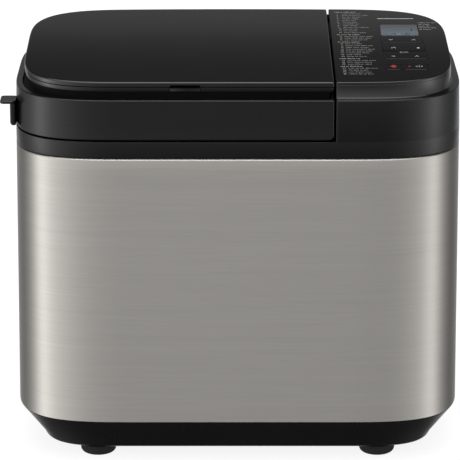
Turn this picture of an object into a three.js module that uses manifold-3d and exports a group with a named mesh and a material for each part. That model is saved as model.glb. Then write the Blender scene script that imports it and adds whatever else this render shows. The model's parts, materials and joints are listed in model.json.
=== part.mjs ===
// Bread machine with a dispenser in its lid, in millimetres, +Z up, front towards -Y.
// It is modelled around the middle of its housing and moved onto the bottom centre of its box at the end.
import * as THREE from "three";
import { mergeVertices } from "three/addons/utils/BufferGeometryUtils.js";
import Module from "manifold-3d";

const wasm = await Module();
wasm.setup();

// ---- driving dimensions ----
const WIDTH = 395;
const DEPTH = 252;
const CORNER = 109;
const SQUARENESS = 3.37;
const GAP = 0.3;

// Levels above the table.
const TRAY_BOTTOM = 10;
const STEEL_BOTTOM = 42;
const STEEL_TOP = 283.5;
const COLLAR_TOP = 298.7;
const DECK_TOP = 295;
const LID_BOTTOM = 300.2;
const LEDGE = 335.6;

// The top plane, which rises from the front edge to the back.
const TOP_INSET = 8.8;
const TOP_FRONT_Z = 350;
const SLOPE = THREE.MathUtils.degToRad(3.1);
const TOP_BOW = { rear: 2.5, bow: 5.5 };

// The lid covers the left part, the control panel the right part.
const LID_RIGHT = 83.1;
const PANEL_LEFT = 84.9;
const LID_REAR = 6;
const SHELL = 3;

// Baking chamber, pan and drive.
const CHAMBER_X = -57;
const CHAMBER = { x: 90, y: 98, corner: 30, bottom: 76, top: 296.3 };
const PAN_RIM = 240;
const PAN_BOTTOM = 90;
const SHAFT_RADIUS = 5;
const MOTOR_X = 112;
const MOTOR_Y = -12;
const PULLEY = { low: 44, high: 54, large: 48, small: 11 };
const PLATE_LOW = 59;
const PLATE_HIGH = 61.5;
const HEAT_SHIELD_OFFSET = 22;

// Hinge of the lid, and hinge of the dispenser lid in the sloping frame.
const HINGE = { y: 121, z: 303, lug: 3.8, pin: 1.8, length: 12 };
const DISPENSER_HINGE = { y: 233, z: -12.5, lug: 3, pin: 1.2, length: 8 };
const HINGE_SPREAD = 80;

// Dispenser in the lid.
const TRAY_BOX = { x0: -124, x1: -40, y0: -56, y1: -6, low: 306, high: 336.9 };
const YEAST = { x: -16, y: -31, radius: 14, low: 306, high: 336.9 };
const FLAP_AXIS_Z = 304.6;

const BLACK = [0x1c1c1c, 0.45, 0];
const GLOSS_BLACK = [0x232222, 0.25, 0];
const RUBBER = [0x151516, 0.8, 0];
const STEEL = [0x8a8985, 0.35, 1];
const BRIGHT = [0xb8b8b6, 0.3, 1];
const COATED = [0x3a3a3c, 0.6, 0.2];
const SILICONE = [0x8c8a86, 0.7, 0];
const BOARD = [0x2e5a3a, 0.6, 0];
const GLASS = [0x4d4f55, 0.15, 0];
const BRASS = [0xb08d4a, 0.4, 1];

// ---- joining and cutting ----

// A closed geometry as a solid that faces outwards.
function solid(geometry) {
  const bare = geometry.index ? geometry.toNonIndexed() : geometry.clone();
  bare.deleteAttribute("normal");
  bare.deleteAttribute("uv");
  const merged = mergeVertices(bare, 1e-4);
  const vertProperties = merged.attributes.position.array;
  const triVerts = new Uint32Array(merged.index.array);
  const made = new wasm.Manifold(new wasm.Mesh({ numProp: 3, vertProperties, triVerts }));
  if (made.volume() > 0) return made;
  const turned = triVerts.slice().reverse();
  return new wasm.Manifold(new wasm.Mesh({ numProp: 3, vertProperties, triVerts: turned }));
}

function join(...geometries) {
  return geometries.map(asSolid).reduce((whole, next) => whole.add(next));
}

function cut(base, ...tools) {
  return tools.map(asSolid).reduce((whole, tool) => whole.subtract(tool), asSolid(base));
}

function common(base, other) {
  return asSolid(base).intersect(asSolid(other));
}

function asSolid(shape) {
  return shape.isBufferGeometry ? solid(shape) : shape;
}

const root = new THREE.Group();

// Puts a finished solid into the assembly as a named mesh.
function add(name, shape, [color, roughness, metalness]) {
  const mesh = asSolid(shape).getMesh();
  const geometry = new THREE.BufferGeometry();
  geometry.setAttribute("position", new THREE.BufferAttribute(mesh.vertProperties, 3));
  geometry.setIndex(new THREE.BufferAttribute(mesh.triVerts, 1));
  geometry.computeVertexNormals();
  const material = new THREE.MeshStandardMaterial({ color, roughness, metalness });
  const node = new THREE.Mesh(geometry, material);
  node.name = name;
  root.add(node);
}

// ---- shapes ----

function block([x0, x1], [y0, y1], [z0, z1]) {
  const box = new THREE.BoxGeometry(x1 - x0, y1 - y0, z1 - z0);
  return box.translate((x0 + x1) / 2, (y0 + y1) / 2, (z0 + z1) / 2);
}

function post(radius, [z0, z1], x, y, sides = 16) {
  const bar = new THREE.CylinderGeometry(radius, radius, z1 - z0, sides);
  return bar.rotateX(Math.PI / 2).translate(x, y, (z0 + z1) / 2);
}

function rodAlongX(radius, [x0, x1], y, z, sides = 12) {
  const bar = new THREE.CylinderGeometry(radius, radius, x1 - x0, sides);
  return bar.rotateZ(Math.PI / 2).translate((x0 + x1) / 2, y, z);
}

// A round piece from its half section, given as [radius, height] points.
function turned(profile, x, y, segments = 16) {
  const points = profile.map(([radius, height]) => new THREE.Vector2(radius, height));
  return new THREE.LatheGeometry(points, segments).rotateX(Math.PI / 2).translate(x, y, 0);
}

function roundedRectangle(halfX, halfY, corner) {
  const shape = new THREE.Shape();
  shape.absarc(halfX - corner, halfY - corner, corner, 0, Math.PI / 2);
  shape.absarc(corner - halfX, halfY - corner, corner, Math.PI / 2, Math.PI);
  shape.absarc(corner - halfX, corner - halfY, corner, Math.PI, 1.5 * Math.PI);
  shape.absarc(halfX - corner, corner - halfY, corner, 1.5 * Math.PI, 2 * Math.PI);
  return shape;
}

function slab(shape, [z0, z1], x = 0, y = 0, curveSegments = 3) {
  const settings = { depth: z1 - z0, bevelEnabled: false, curveSegments };
  return new THREE.ExtrudeGeometry(shape, settings).translate(x, y, z0);
}

function roundedSlab(halfX, halfY, corner, [z0, z1], x = CHAMBER_X, y = 0) {
  return slab(roundedRectangle(halfX, halfY, corner), [z0, z1], x, y);
}

// A closed solid through stacked outlines that all have the same number of points.
function loft(layers) {
  const count = layers[0].outline.length;
  const positions = layers.flatMap(({ outline, z }) => outline.flatMap((p) => [p.x, p.y, z]));
  const index = [];
  for (let layer = 0; layer + 1 < layers.length; layer += 1) {
    for (let i = 0; i < count; i += 1) {
      const a = layer * count + i;
      const b = layer * count + ((i + 1) % count);
      index.push(a, b, b + count, a, b + count, a + count);
    }
  }
  const lid = (layers.length - 1) * count;
  for (const [a, b, c] of THREE.ShapeUtils.triangulateShape(layers[0].outline, [])) {
    index.push(c, b, a);
  }
  for (const [a, b, c] of THREE.ShapeUtils.triangulateShape(layers.at(-1).outline, [])) {
    index.push(a + lid, b + lid, c + lid);
  }
  const geometry = new THREE.BufferGeometry();
  geometry.setAttribute("position", new THREE.Float32BufferAttribute(positions, 3));
  geometry.setIndex(index);
  return geometry;
}

// Plan outline of the housing: straight sides that run softly into squarish corners.
// rear moves the back edge in, and bow makes its middle bulge out again.
function housing(inset, { rear = 0, bow = 0 } = {}) {
  const diagonal = 1.57;
  const corner = CORNER - diagonal * inset;
  const halfX = WIDTH / 2 - inset;
  const front = inset - DEPTH / 2;
  const back = DEPTH / 2 - inset - rear;
  const steps = 6;
  const points = [];
  const bend = (signX, signY, fromSide) => {
    for (let i = 0; i <= steps; i += 1) {
      const share = fromSide ? i / steps : 1 - i / steps;
      const angle = (share * Math.PI) / 2;
      const x = halfX - corner + corner * Math.abs(Math.cos(angle)) ** (2 / SQUARENESS);
      const y = -corner + corner * Math.abs(Math.sin(angle)) ** (2 / SQUARENESS);
      points.push(new THREE.Vector2(signX * x, signY > 0 ? back + y : front - y));
    }
  };
  bend(1, 1, true);
  const backSteps = 6;
  const straight = halfX - corner;
  for (let i = 1; i < backSteps; i += 1) {
    points.push(new THREE.Vector2(straight - (2 * straight * i) / backSteps, back));
  }
  bend(-1, 1, false);
  bend(-1, -1, true);
  bend(1, -1, false);
  for (const point of points) {
    const towardsBack = Math.max(0, point.y / back) ** 4;
    point.y += bow * towardsBack * (1 - (point.x / halfX) ** 2);
  }
  return points;
}

// A housing-shaped solid through [height, inset] levels.
function shell(levels, plan) {
  return loft(levels.map(([z, inset]) => ({ z, outline: housing(inset, plan) })));
}

const FAR = 400;
const lidSide = (right) => block([-FAR, right], [-FAR, FAR], [-FAR, FAR * 2]);
const panelSide = (left) => block([left, FAR], [-FAR, FAR], [-FAR, FAR * 2]);

// Lays a geometry given in the sloping frame onto the machine: y runs up the slope from the front
// edge of the top plane, and z is 0 on that plane.
const TOP_FRONT_Y = TOP_INSET - DEPTH / 2;
function onSlope(geometry) {
  return geometry.rotateX(SLOPE).translate(0, TOP_FRONT_Y, TOP_FRONT_Z);
}

// Everything that lies higher than this depth under the top plane.
function aboveSlope(depth) {
  return onSlope(block([-FAR, FAR], [-FAR, FAR], [depth, FAR]));
}

// A plate that lies under the top plane between two depths, with the top outline moved in by inset.
function topPlate(inset, low, high, plan = TOP_BOW) {
  const margin = 40;
  const body = shell([[TOP_FRONT_Z - margin, inset], [TOP_FRONT_Z + margin, inset]], plan);
  const slice = onSlope(block([-FAR, FAR], [-FAR, FAR], [low, high]));
  return common(body, slice);
}

// A smooth path through corner points, with every inner corner rounded by the same distance.
function roundedPath(points, radius) {
  const path = new THREE.CurvePath();
  let start = points[0];
  for (let i = 1; i < points.length - 1; i += 1) {
    const corner = points[i];
    const towardsBefore = points[i - 1].clone().sub(corner).setLength(radius);
    const towardsAfter = points[i + 1].clone().sub(corner).setLength(radius);
    const entry = corner.clone().add(towardsBefore);
    const exit = corner.clone().add(towardsAfter);
    path.add(new THREE.LineCurve3(start, entry));
    path.add(new THREE.QuadraticBezierCurve3(entry, corner, exit));
    start = exit;
  }
  path.add(new THREE.LineCurve3(start, points.at(-1)));
  return path;
}

// A stiff wire through corner points, as straight bars with a ball in each bend.
function bentWire(points, radius) {
  const up = new THREE.Vector3(0, 1, 0);
  const bars = points.slice(1).map((end, i) => {
    const run = end.clone().sub(points[i]);
    const bar = new THREE.CylinderGeometry(radius, radius, run.length(), 10);
    bar.applyQuaternion(new THREE.Quaternion().setFromUnitVectors(up, run.clone().normalize()));
    const middle = points[i].clone().addScaledVector(run, 0.5);
    return bar.translate(middle.x, middle.y, middle.z);
  });
  const balls = points.slice(1, -1).map(({ x, y, z }) => {
    return new THREE.SphereGeometry(radius, 10, 6).translate(x, y, z);
  });
  return join(...bars, ...balls);
}

function tube(path, radius, steps, sides = 8) {
  const section = new THREE.Shape();
  for (let i = 0; i < sides; i += 1) {
    const angle = (2 * Math.PI * i) / sides;
    const method = i === 0 ? "moveTo" : "lineTo";
    section[method](radius * Math.cos(angle), radius * Math.sin(angle));
  }
  section.closePath();
  return new THREE.ExtrudeGeometry(section, { steps, extrudePath: path, bevelEnabled: false });
}

// ---- base ----

const FOOT = { x: 125.5, y: 84, radius: 16, stem: 5 };
const PLATE_POSTS = [[-98, -50], [-98, 50], [150, -50], [150, 50]];

function baseTray() {
  const inset = 24;
  const wall = 3;
  const skirt = 8;
  const outside = shell([
    [TRAY_BOTTOM, inset + 2.5],
    [TRAY_BOTTOM + 2.5, inset - 1],
    [STEEL_BOTTOM, -0.6],
  ]);
  const spigot = shell([[STEEL_BOTTOM - wall, 0.4], [STEEL_BOTTOM + skirt, 0.4]]);
  const hollow = shell([
    [TRAY_BOTTOM + wall, inset + 3],
    [STEEL_BOTTOM - wall, 3.4],
    [STEEL_BOTTOM + skirt + 1, 3.4],
  ]);
  const stemHoles = footPlaces().map(([x, y]) => post(FOOT.stem + GAP, [0, 20], x, y, 12));
  const slots = [];
  for (let i = -3; i <= 3; i += 1) {
    slots.push(block([i * 14 - 2.5, i * 14 + 2.5], [-30, 30], [0, 20]));
  }
  const posts = PLATE_POSTS.map(([x, y]) => post(5, [TRAY_BOTTOM + 1, PLATE_LOW - GAP], x, y, 12));
  const tray = cut(join(outside, spigot), hollow, ...stemHoles, ...slots);
  add("base_tray", join(tray, ...posts), BLACK);
}

function footPlaces() {
  return [[-1, -1], [1, -1], [-1, 1], [1, 1]].map(([x, y]) => [x * FOOT.x, y * FOOT.y]);
}

function feet() {
  const top = TRAY_BOTTOM - GAP;
  const profile = [
    [0, 0],
    [FOOT.radius - 4, 0],
    [FOOT.radius - 1.4, 1.4],
    [FOOT.radius, 4.5],
    [FOOT.radius, top],
    [FOOT.stem, top],
    [FOOT.stem, top + 5],
    [0, top + 5],
  ];
  const names = ["foot_front_left", "foot_front_right", "foot_rear_left", "foot_rear_right"];
  footPlaces().forEach(([x, y], i) => add(names[i], turned(profile, x, y, 16), RUBBER));
}

// ---- steel band, inlet and rear grille ----

const INLET = { x: 150, z: 72, hole: 9, flange: 12 };
const GRILLE = { x: -10, z: 100, halfX: 55, halfZ: 24 };

function steelWrap() {
  const thickness = 0.9;
  const lip = 1.4;
  const levels = [
    [STEEL_BOTTOM + GAP, -1],
    [STEEL_TOP - GAP - lip, 0.5],
    [STEEL_TOP - GAP, 1.1],
  ];
  const inner = levels.map(([z, inset]) => [z, inset + thickness]);
  inner[0][0] -= 1;
  inner.push([STEEL_TOP + 1, inner.at(-1)[1]]);
  const rear = DEPTH / 2;
  const hole = new THREE.CylinderGeometry(INLET.hole + GAP, INLET.hole + GAP, 20, 16);
  hole.translate(INLET.x, rear, INLET.z);
  const spanX = [GRILLE.x - GRILLE.halfX, GRILLE.x + GRILLE.halfX];
  const spanZ = [GRILLE.z - GRILLE.halfZ, GRILLE.z + GRILLE.halfZ];
  const window = block(spanX, [rear - 10, rear + 10], spanZ);
  add("steel_wrap", cut(shell(levels), shell(inner), hole, window), STEEL);
}

function cordInlet() {
  const face = DEPTH / 2 + 1;
  const profile = [
    [4.5, face - 16],
    [INLET.hole, face - 16],
    [INLET.hole, face + GAP],
    [INLET.flange, face + GAP],
    [INLET.flange - 1, face + 2.5],
    [4.5, face + 2.5],
    [4.5, face - 16],
  ].map(([radius, height]) => new THREE.Vector2(radius, height));
  const gland = new THREE.LatheGeometry(profile, 16).translate(INLET.x, 0, INLET.z);
  add("cord_inlet", gland, RUBBER);
}

function rearGrille() {
  const rear = DEPTH / 2;
  const halfX = GRILLE.halfX - GAP;
  const halfZ = GRILLE.halfZ - GAP;
  const across = (reach) => [GRILLE.x - reach, GRILLE.x + reach];
  const upright = [GRILLE.z - halfZ, GRILLE.z + halfZ];
  const plate = block(across(halfX), [rear - 1.6, rear + 1], upright);
  const slotPitch = 6;
  const slotHalf = 1.6;
  const slots = [];
  for (let i = -3; i <= 3; i += 1) {
    const z = GRILLE.z + i * slotPitch;
    slots.push(block(across(halfX - 6), [rear - 10, rear + 10], [z - slotHalf, z + slotHalf]));
  }
  add("rear_grille", cut(plate, ...slots), BLACK);
}

// ---- top frame and control panel ----

const COVER = 2.5;

function topFrame() {
  const rimWidth = 6;
  const spigot = shell([[STEEL_TOP - 7, 2.3], [STEEL_TOP + 1, 2.3]]);
  const collar = shell([[STEEL_TOP, 0], [COLLAR_TOP, 0.2]]);
  const rightWall = shell([[COLLAR_TOP - 1, 0.2], [LEDGE, 1]]);
  const raisedWall = shell([[LEDGE - 1, TOP_INSET], [FAR, TOP_INSET]], TOP_BOW);
  const raised = cut(raisedWall, aboveSlope(-COVER - GAP));
  const outside = join(spigot, collar, common(join(rightWall, raised), panelSide(PANEL_LEFT)));
  const hollowInset = 2 + SHELL;
  const hollowLow = STEEL_TOP - 8;
  const under = shell([[hollowLow, hollowInset], [DECK_TOP - SHELL, hollowInset]]);
  const recess = shell([[DECK_TOP, rimWidth], [COLLAR_TOP + 1, rimWidth]]);
  const lidRecess = common(recess, lidSide(PANEL_LEFT - 2));
  const rightHollow = shell([[hollowLow, hollowInset], [LEDGE - SHELL, hollowInset]]);
  const raisedInset = TOP_INSET + SHELL;
  const raisedHollow = shell([[LEDGE - SHELL - 1, raisedInset], [FAR, raisedInset]], TOP_BOW);
  const panelHollow = common(join(rightHollow, raisedHollow), panelSide(PANEL_LEFT + SHELL));
  const { x, y, corner } = CHAMBER;
  const mouth = roundedSlab(x + 1.5, y + 1.5, corner, [STEEL_TOP - 9, FAR]);
  add("top_frame", cut(outside, under, lidRecess, panelHollow, mouth), BLACK);
}

// Control keys: middle x, distance up the slope, width, length and how they move.
const KEYS = [
  { name: "menu_key", x: 148, y: 131.5, width: 37, length: 17 },
  { name: "size_key", x: 148.5, y: 105.5, width: 38, length: 17 },
  { name: "timer_key", x: 148.8, y: 79, width: 38.4, length: 16 },
  { name: "stop_key", x: 136.3, y: 47.3, width: 13.2, length: 18.5 },
  { name: "start_key", x: 156.2, y: 47.3, width: 20.9, length: 18.5 },
];
const WINDOW = { x: 147.3, y: 165.6, width: 33.4, length: 36.4 };

function keyBlock({ x, y, width, length }, extra, [low, high]) {
  const outline = roundedRectangle(width / 2 + extra, length / 2 + extra, 1.5 + extra);
  return slab(outline, [low, high], x, y, 1);
}

function controlPanel() {
  const plate = common(topPlate(TOP_INSET, -COVER, 0), panelSide(PANEL_LEFT));
  const holes = [...KEYS, WINDOW].map((place) => onSlope(keyBlock(place, 0.5, [-5, 5])));
  add("panel_cover", cut(plate, ...holes), GLOSS_BLACK);
  for (const key of KEYS) {
    const cap = keyBlock(key, 0, [-4.5, 0.4]);
    const stem = post(2, [-5.2, -4], key.x, key.y, 10);
    add(key.name, join(onSlope(cap), onSlope(stem)), BLACK);
  }
  add("display_window", onSlope(keyBlock(WINDOW, 0.5 - GAP, [-1.6, -0.1])), GLASS);
  add("display_module", onSlope(keyBlock(WINDOW, 3, [-5.8, -COVER - GAP])), COATED);
  const board = roundedSlab(36, 84, 2, [-8.6, -7], 138, 112);
  add("control_board", onSlope(board), BOARD);
}

// ---- baking chamber ----

const HEATER_Z = 100;
const HEATER_ENDS = [14, 26];

function ovenLiner() {
  const wall = 1;
  const { x, y, corner, bottom, top } = CHAMBER;
  const flange = roundedSlab(x + 7.5, y + 7.5, corner + 7.5, [DECK_TOP + GAP, top]);
  const box = roundedSlab(x, y, corner, [bottom, top]);
  const inside = roundedSlab(x - wall, y - wall, corner - wall, [bottom + 1.2, top + 1]);
  const shaftHole = post(14, [bottom - 5, bottom + 5], CHAMBER_X, 0);
  const wallX = [CHAMBER_X + x - 6, CHAMBER_X + x + 6];
  const terminals = HEATER_ENDS.map((end) => rodAlongX(4.4, wallX, end, HEATER_Z, 12));
  const sensorHole = rodAlongX(3, wallX, SENSOR.y, SENSOR.z, 12);
  add("oven_liner", cut(join(flange, box), inside, shaftHole, ...terminals, sensorHole), BRIGHT);
}

function heaterElement() {
  const x = CHAMBER.x - 5.5;
  const y = CHAMBER.y - 5;
  const outside = CHAMBER.x + 13;
  const [low, high] = HEATER_ENDS;
  const round = [[x, low], [x, -y], [-x, -y], [-x, y], [x, y], [x, high]];
  const corners = [[outside, low], ...round, [outside, high]];
  const points = corners.map(([px, py]) => new THREE.Vector3(CHAMBER_X + px, py, HEATER_Z));
  const wide = roundedPath(points.slice(1, 7), 34);
  const ends = [points.slice(0, 3), points.slice(5)].map((three) => roundedPath(three, 4));
  const path = new THREE.CurvePath();
  const [entry, exit] = ends.map(({ curves }) => curves);
  path.curves = [entry[0], entry[1], ...wide.curves, exit[1], exit[2]];
  path.curves[2] = new THREE.LineCurve3(entry[1].v2, wide.curves[0].v2);
  const last = wide.curves.at(-1);
  path.curves[1 + wide.curves.length] = new THREE.LineCurve3(last.v1, exit[1].v0);
  add("heater_element", tube(path, 3.2, 48, 6), COATED);
}

const SENSOR = { y: -30, z: 150 };

function temperatureSensor() {
  const probe = rodAlongX(2.6, [CHAMBER_X + 84, CHAMBER_X + 100], SENSOR.y, SENSOR.z, 12);
  const wall = CHAMBER_X + CHAMBER.x;
  const flange = rodAlongX(7, [wall + GAP, wall + 3], SENSOR.y, SENSOR.z, 12);
  add("temperature_sensor", join(probe, flange), BRIGHT);
}

function panLockRing() {
  const floor = CHAMBER.bottom + 1.2 + GAP;
  const ring = [[40, floor], [46, floor], [46, floor + 7], [40, floor + 7], [40, floor]];
  add("pan_lock_ring", turned(ring, CHAMBER_X, 0), BRIGHT);
}

function heatShield() {
  const x = CHAMBER_X + CHAMBER.x + HEAT_SHIELD_OFFSET;
  add("heat_shield", block([x, x + 1], [-104, 104], [PLATE_HIGH + 4, STEEL_TOP]), BRIGHT);
}

// ---- bread pan ----

function breadPan() {
  const wall = 1.5;
  const layer = (z, x, y, corner) => {
    const outline = roundedRectangle(x, y, corner).extractPoints(3).shape;
    return { z, outline: outline.map((p) => new THREE.Vector2(p.x + CHAMBER_X, p.y)) };
  };
  const outside = loft([layer(PAN_BOTTOM, 66, 82, 22), layer(PAN_RIM - 2, 72, 88, 25)]);
  const rim = loft([
    layer(PAN_RIM - 2.5, 72, 88, 25),
    layer(PAN_RIM - 1.5, 74, 90, 26),
    layer(PAN_RIM, 74, 90, 26),
  ]);
  const inside = loft([
    layer(PAN_BOTTOM + wall, 66 - wall, 82 - wall, 22 - wall),
    layer(PAN_RIM + 1, 72 - wall, 88 - wall, 25 - wall),
  ]);
  const ears = [-1, 1].map((side) => {
    const xs = [CHAMBER_X + side * 71, CHAMBER_X + side * 74.6].sort((a, b) => a - b);
    return block(xs, [-7, 7], [PAN_RIM - 16, PAN_RIM]);
  });
  const pivot = rodAlongX(2.6, [CHAMBER_X - 90, CHAMBER_X + 90], 0, HANDLE.z, 12);
  const shaftHole = post(9, [PAN_BOTTOM - 5, PAN_BOTTOM + 5], CHAMBER_X, 0);
  add("bread_pan", cut(join(outside, rim, ...ears), inside, pivot, shaftHole), COATED);
}

const HANDLE = { z: 233, reach: 70, lift: 10.5, halfX: 77.6, wire: 2.2 };

function panHandle() {
  const { z, reach, lift, halfX, wire } = HANDLE;
  const corner = (x, y, height) => new THREE.Vector3(CHAMBER_X + x, y, z + height);
  const points = [
    corner(-72.5, 0, 0),
    corner(-halfX, 0, 0),
    corner(-halfX, reach, lift),
    corner(halfX, reach, lift),
    corner(halfX, 0, 0),
    corner(72.5, 0, 0),
  ];
  add("pan_handle", bentWire(points, wire), BRIGHT);
}

function panFoot() {
  const profile = [[30, 79.5], [38.5, 79.5], [38.5, 83], [36, 84], [36, 89.7], [30, 89.7], [30, 79.5]];
  add("pan_foot", turned(profile, CHAMBER_X, 0), BRIGHT);
}

function shaftBearing() {
  const profile = [[4.3, 87], [12, 87], [12, 89.6], [8.7, 89.6], [8.7, 94], [4.3, 94], [4.3, 87]];
  add("shaft_bearing", turned(profile, CHAMBER_X, 0), BRASS);
}

// ---- kneader and drive ----

function kneader() {
  const wing = block([CHAMBER_X - 11, CHAMBER_X + 11], [-2.2, 2.2], [82.4, 85.6]);
  const shaft = post(4, [84, 112], CHAMBER_X, 0);
  add("kneader_shaft", join(wing, shaft), BRIGHT);
  const hub = turned([[4.3, 95], [9, 95], [8, 113], [4.3, 113], [4.3, 95]], CHAMBER_X, 0);
  const fin = new THREE.Shape();
  fin.moveTo(6, 96);
  fin.lineTo(46, 96);
  fin.quadraticCurveTo(50, 97, 48, 104);
  fin.quadraticCurveTo(40, 116, 22, 128);
  fin.quadraticCurveTo(12, 132, 6, 112);
  fin.closePath();
  const settings = { depth: 4, bevelEnabled: false, curveSegments: 5 };
  const blade = new THREE.ExtrudeGeometry(fin, settings).rotateX(Math.PI / 2).translate(CHAMBER_X, 2, 0);
  add("kneader_blade", join(hub, blade), COATED);
}

function driveTrain() {
  const { low, high, large, small } = PULLEY;
  const x = CHAMBER_X;
  const shaft = turned([[0, 20], [SHAFT_RADIUS, 20], [SHAFT_RADIUS, 78.6], [0, 78.6]], x, 0);
  add("drive_shaft", shaft, BRIGHT);
  const dogs = [-1, 1].map((side) => {
    const ys = [side * 5, side * 10.5].sort((a, b) => a - b);
    return block([x - 4, x + 4], ys, [80, 86]);
  });
  add("drive_coupling", join(post(12, [78.9, 82], x, 0), ...dogs), BRIGHT);
  const bore = SHAFT_RADIUS + GAP;
  add("drive_pulley", pulley(x, 0, large, bore), COATED);
  const bearing = [[bore, 62], [24, 62], [24, 64], [16, 66], [16, 75.4], [bore, 75.4], [bore, 62]];
  add("bearing_housing", turned(bearing, x, 0), BRIGHT);
  add("motor_pulley", pulley(MOTOR_X, MOTOR_Y, small, 3.3), BRIGHT);
  const rotor = [[0, 40], [3, 40], [3, 66], [13.6, 66], [13.6, 108], [3, 108], [3, 116], [0, 116]];
  add("motor_rotor", turned(rotor, MOTOR_X, MOTOR_Y), STEEL);
  const stator = [
    [3.4, PLATE_HIGH + GAP],
    [36, PLATE_HIGH + GAP],
    [36, 112],
    [3.4, 112],
    [3.4, 109],
    [14.2, 109],
    [14.2, 65],
    [3.4, 65],
    [3.4, PLATE_HIGH + GAP],
  ];
  add("motor_stator", turned(stator, MOTOR_X, MOTOR_Y), STEEL);
  add("drive_belt", cut(beltLoop(2.5 + GAP), beltLoop(GAP)), RUBBER);
  add("drive_plate", drivePlate(), STEEL);

  function pulley(px, py, radius, hole) {
    const flange = 1.1;
    const profile = [
      [hole, low],
      [radius + 3, low],
      [radius, low + flange],
      [radius, high - flange],
      [radius + 3, high],
      [hole, high],
      [hole, low],
    ];
    return turned(profile, px, py, 24);
  }
}

// The space inside the belt's outer or inner face: two circles and their outside tangents.
function beltLoop(clearance) {
  const big = PULLEY.large + clearance;
  const little = PULLEY.small + clearance;
  const run = Math.hypot(MOTOR_X - CHAMBER_X, MOTOR_Y);
  const heading = Math.atan2(MOTOR_Y, MOTOR_X - CHAMBER_X);
  const lean = Math.acos((big - little) / run);
  const shape = new THREE.Shape();
  shape.absarc(0, 0, big, lean, 2 * Math.PI - lean);
  shape.absarc(run, 0, little, -lean, lean);
  const span = [PULLEY.low + 3.2, PULLEY.high - 3.2];
  return slab(shape, span, 0, 0, 12).rotateZ(heading).translate(CHAMBER_X, 0, 0);
}

function drivePlate() {
  const centre = 26;
  const plate = roundedSlab(134, 57, 12, [PLATE_LOW, PLATE_HIGH], centre, 0);
  const holes = [
    post(SHAFT_RADIUS + 1, [50, 70], CHAMBER_X, 0),
    post(6, [50, 70], MOTOR_X, MOTOR_Y),
    roundedSlab(26, 20, 8, [50, 70], centre, -9),
  ];
  return cut(plate, ...holes);
}

function electronics() {
  add("power_board", block([66, 150], [104, 105.6], [90, 190]), BOARD);
  add("capacitor", post(13, [PLATE_HIGH + GAP, PLATE_HIGH + 44], 72, 36, 20), COATED);
}

// ---- lid ----

const HINGE_MIDDLE = -57;

// Lug and bracket spans of a hinge on the left (-1) or the right (1) of the lid's middle.
function hingeSpans(side, spread, length) {
  const inner = HINGE_MIDDLE + side * (spread - length);
  const middle = inner + side * length;
  const outer = middle + side * (length + 0.4);
  const order = (a, b) => (a < b ? [a, b] : [b, a]);
  return {
    lug: order(inner, middle),
    bracket: order(middle + side * 0.4, outer),
    pin: order(inner + side, outer - side),
  };
}

const LID_HINGES = [-1, 1].map((side) => hingeSpans(side, HINGE_SPREAD, HINGE.length));
const SMALL_HINGES = [-1, 1].map((side) => hingeSpans(side, HINGE_SPREAD - 22, DISPENSER_HINGE.length));

function lidFrame() {
  const plan = { rear: LID_REAR };
  const neckPlan = { rear: 5, bow: TOP_BOW.bow };
  const neckInset = TOP_INSET + 6;
  const outside = shell([[LID_BOTTOM, 0.3], [LEDGE, 1]], plan);
  const inside = shell([[LID_BOTTOM - 1, SHELL + 0.5], [LEDGE - SHELL, SHELL + 0.5]], plan);
  const wall = cut(common(outside, lidSide(LID_RIGHT)), common(inside, lidSide(LID_RIGHT - SHELL)));
  const neckWall = 2.5;
  const neckSide = LID_RIGHT - SHELL;
  const neckTop = aboveSlope(-9.3);
  const neckOutside = shell([[LEDGE - 1, neckInset], [FAR, neckInset]], neckPlan);
  const neckInside = shell([[LEDGE, neckInset + neckWall], [FAR, neckInset + neckWall]], neckPlan);
  const neckHollow = common(neckInside, lidSide(neckSide - neckWall));
  const neck = cut(common(neckOutside, lidSide(neckSide)), neckHollow, neckTop);
  const lugs = LID_HINGES.map(({ lug }) => rodAlongX(HINGE.lug, lug, HINGE.y, HINGE.z));
  const bores = LID_HINGES.map(({ pin }) => rodAlongX(HINGE.pin + GAP, pin, HINGE.y, HINGE.z));
  const notches = LID_HINGES.map(({ bracket: [x0, x1] }) => {
    return rodAlongX(5.9, [x0 - 0.4, x1 + 0.4], HINGE.y, HINGE.z);
  });
  const { y, z, lug, pin: smallPin } = DISPENSER_HINGE;
  const small = SMALL_HINGES.map(({ bracket: [x0, x1] }) => {
    const eye = onSlope(rodAlongX(lug, [x0, x1], y, z, 16));
    const stand = onSlope(block([x0, x1], [y - lug, y + lug], [z - 16, z]));
    return cut(join(eye, stand), block([-FAR, FAR], [-FAR, FAR], [0, LEDGE - 1.5]));
  });
  const smallBore = onSlope(rodAlongX(smallPin + GAP, [-FAR, FAR], y, z, 12));
  const { x0, x1, y0, y1 } = TRAY_BOX;
  const trayHole = block([x0 - GAP, x1 + GAP], [y0 - GAP, y1 + GAP], [320, FAR]);
  const yeastHole = post(YEAST.radius + GAP, [320, 345], YEAST.x, YEAST.y, 16);
  const scoop = new THREE.SphereGeometry(1, 16, 8).scale(19, 5, 2.6);
  scoop.translate(CATCH.x, -DEPTH / 2 + 8, LEDGE + 0.6);
  const body = cut(join(wall, neck, ...lugs, ...small), ...bores, ...notches, smallBore);
  const vents = [-2, -1, 0, 1, 2].map((i) => {
    const middle = HINGE_MIDDLE + i * 9;
    return block([middle - 2.5, middle + 2.5], [100, 140], [312, 326]);
  });
  add("lid_frame", cut(body, trayHole, yeastHole, scoop, lowerCorner(), ...vents), BLACK);
}

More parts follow.
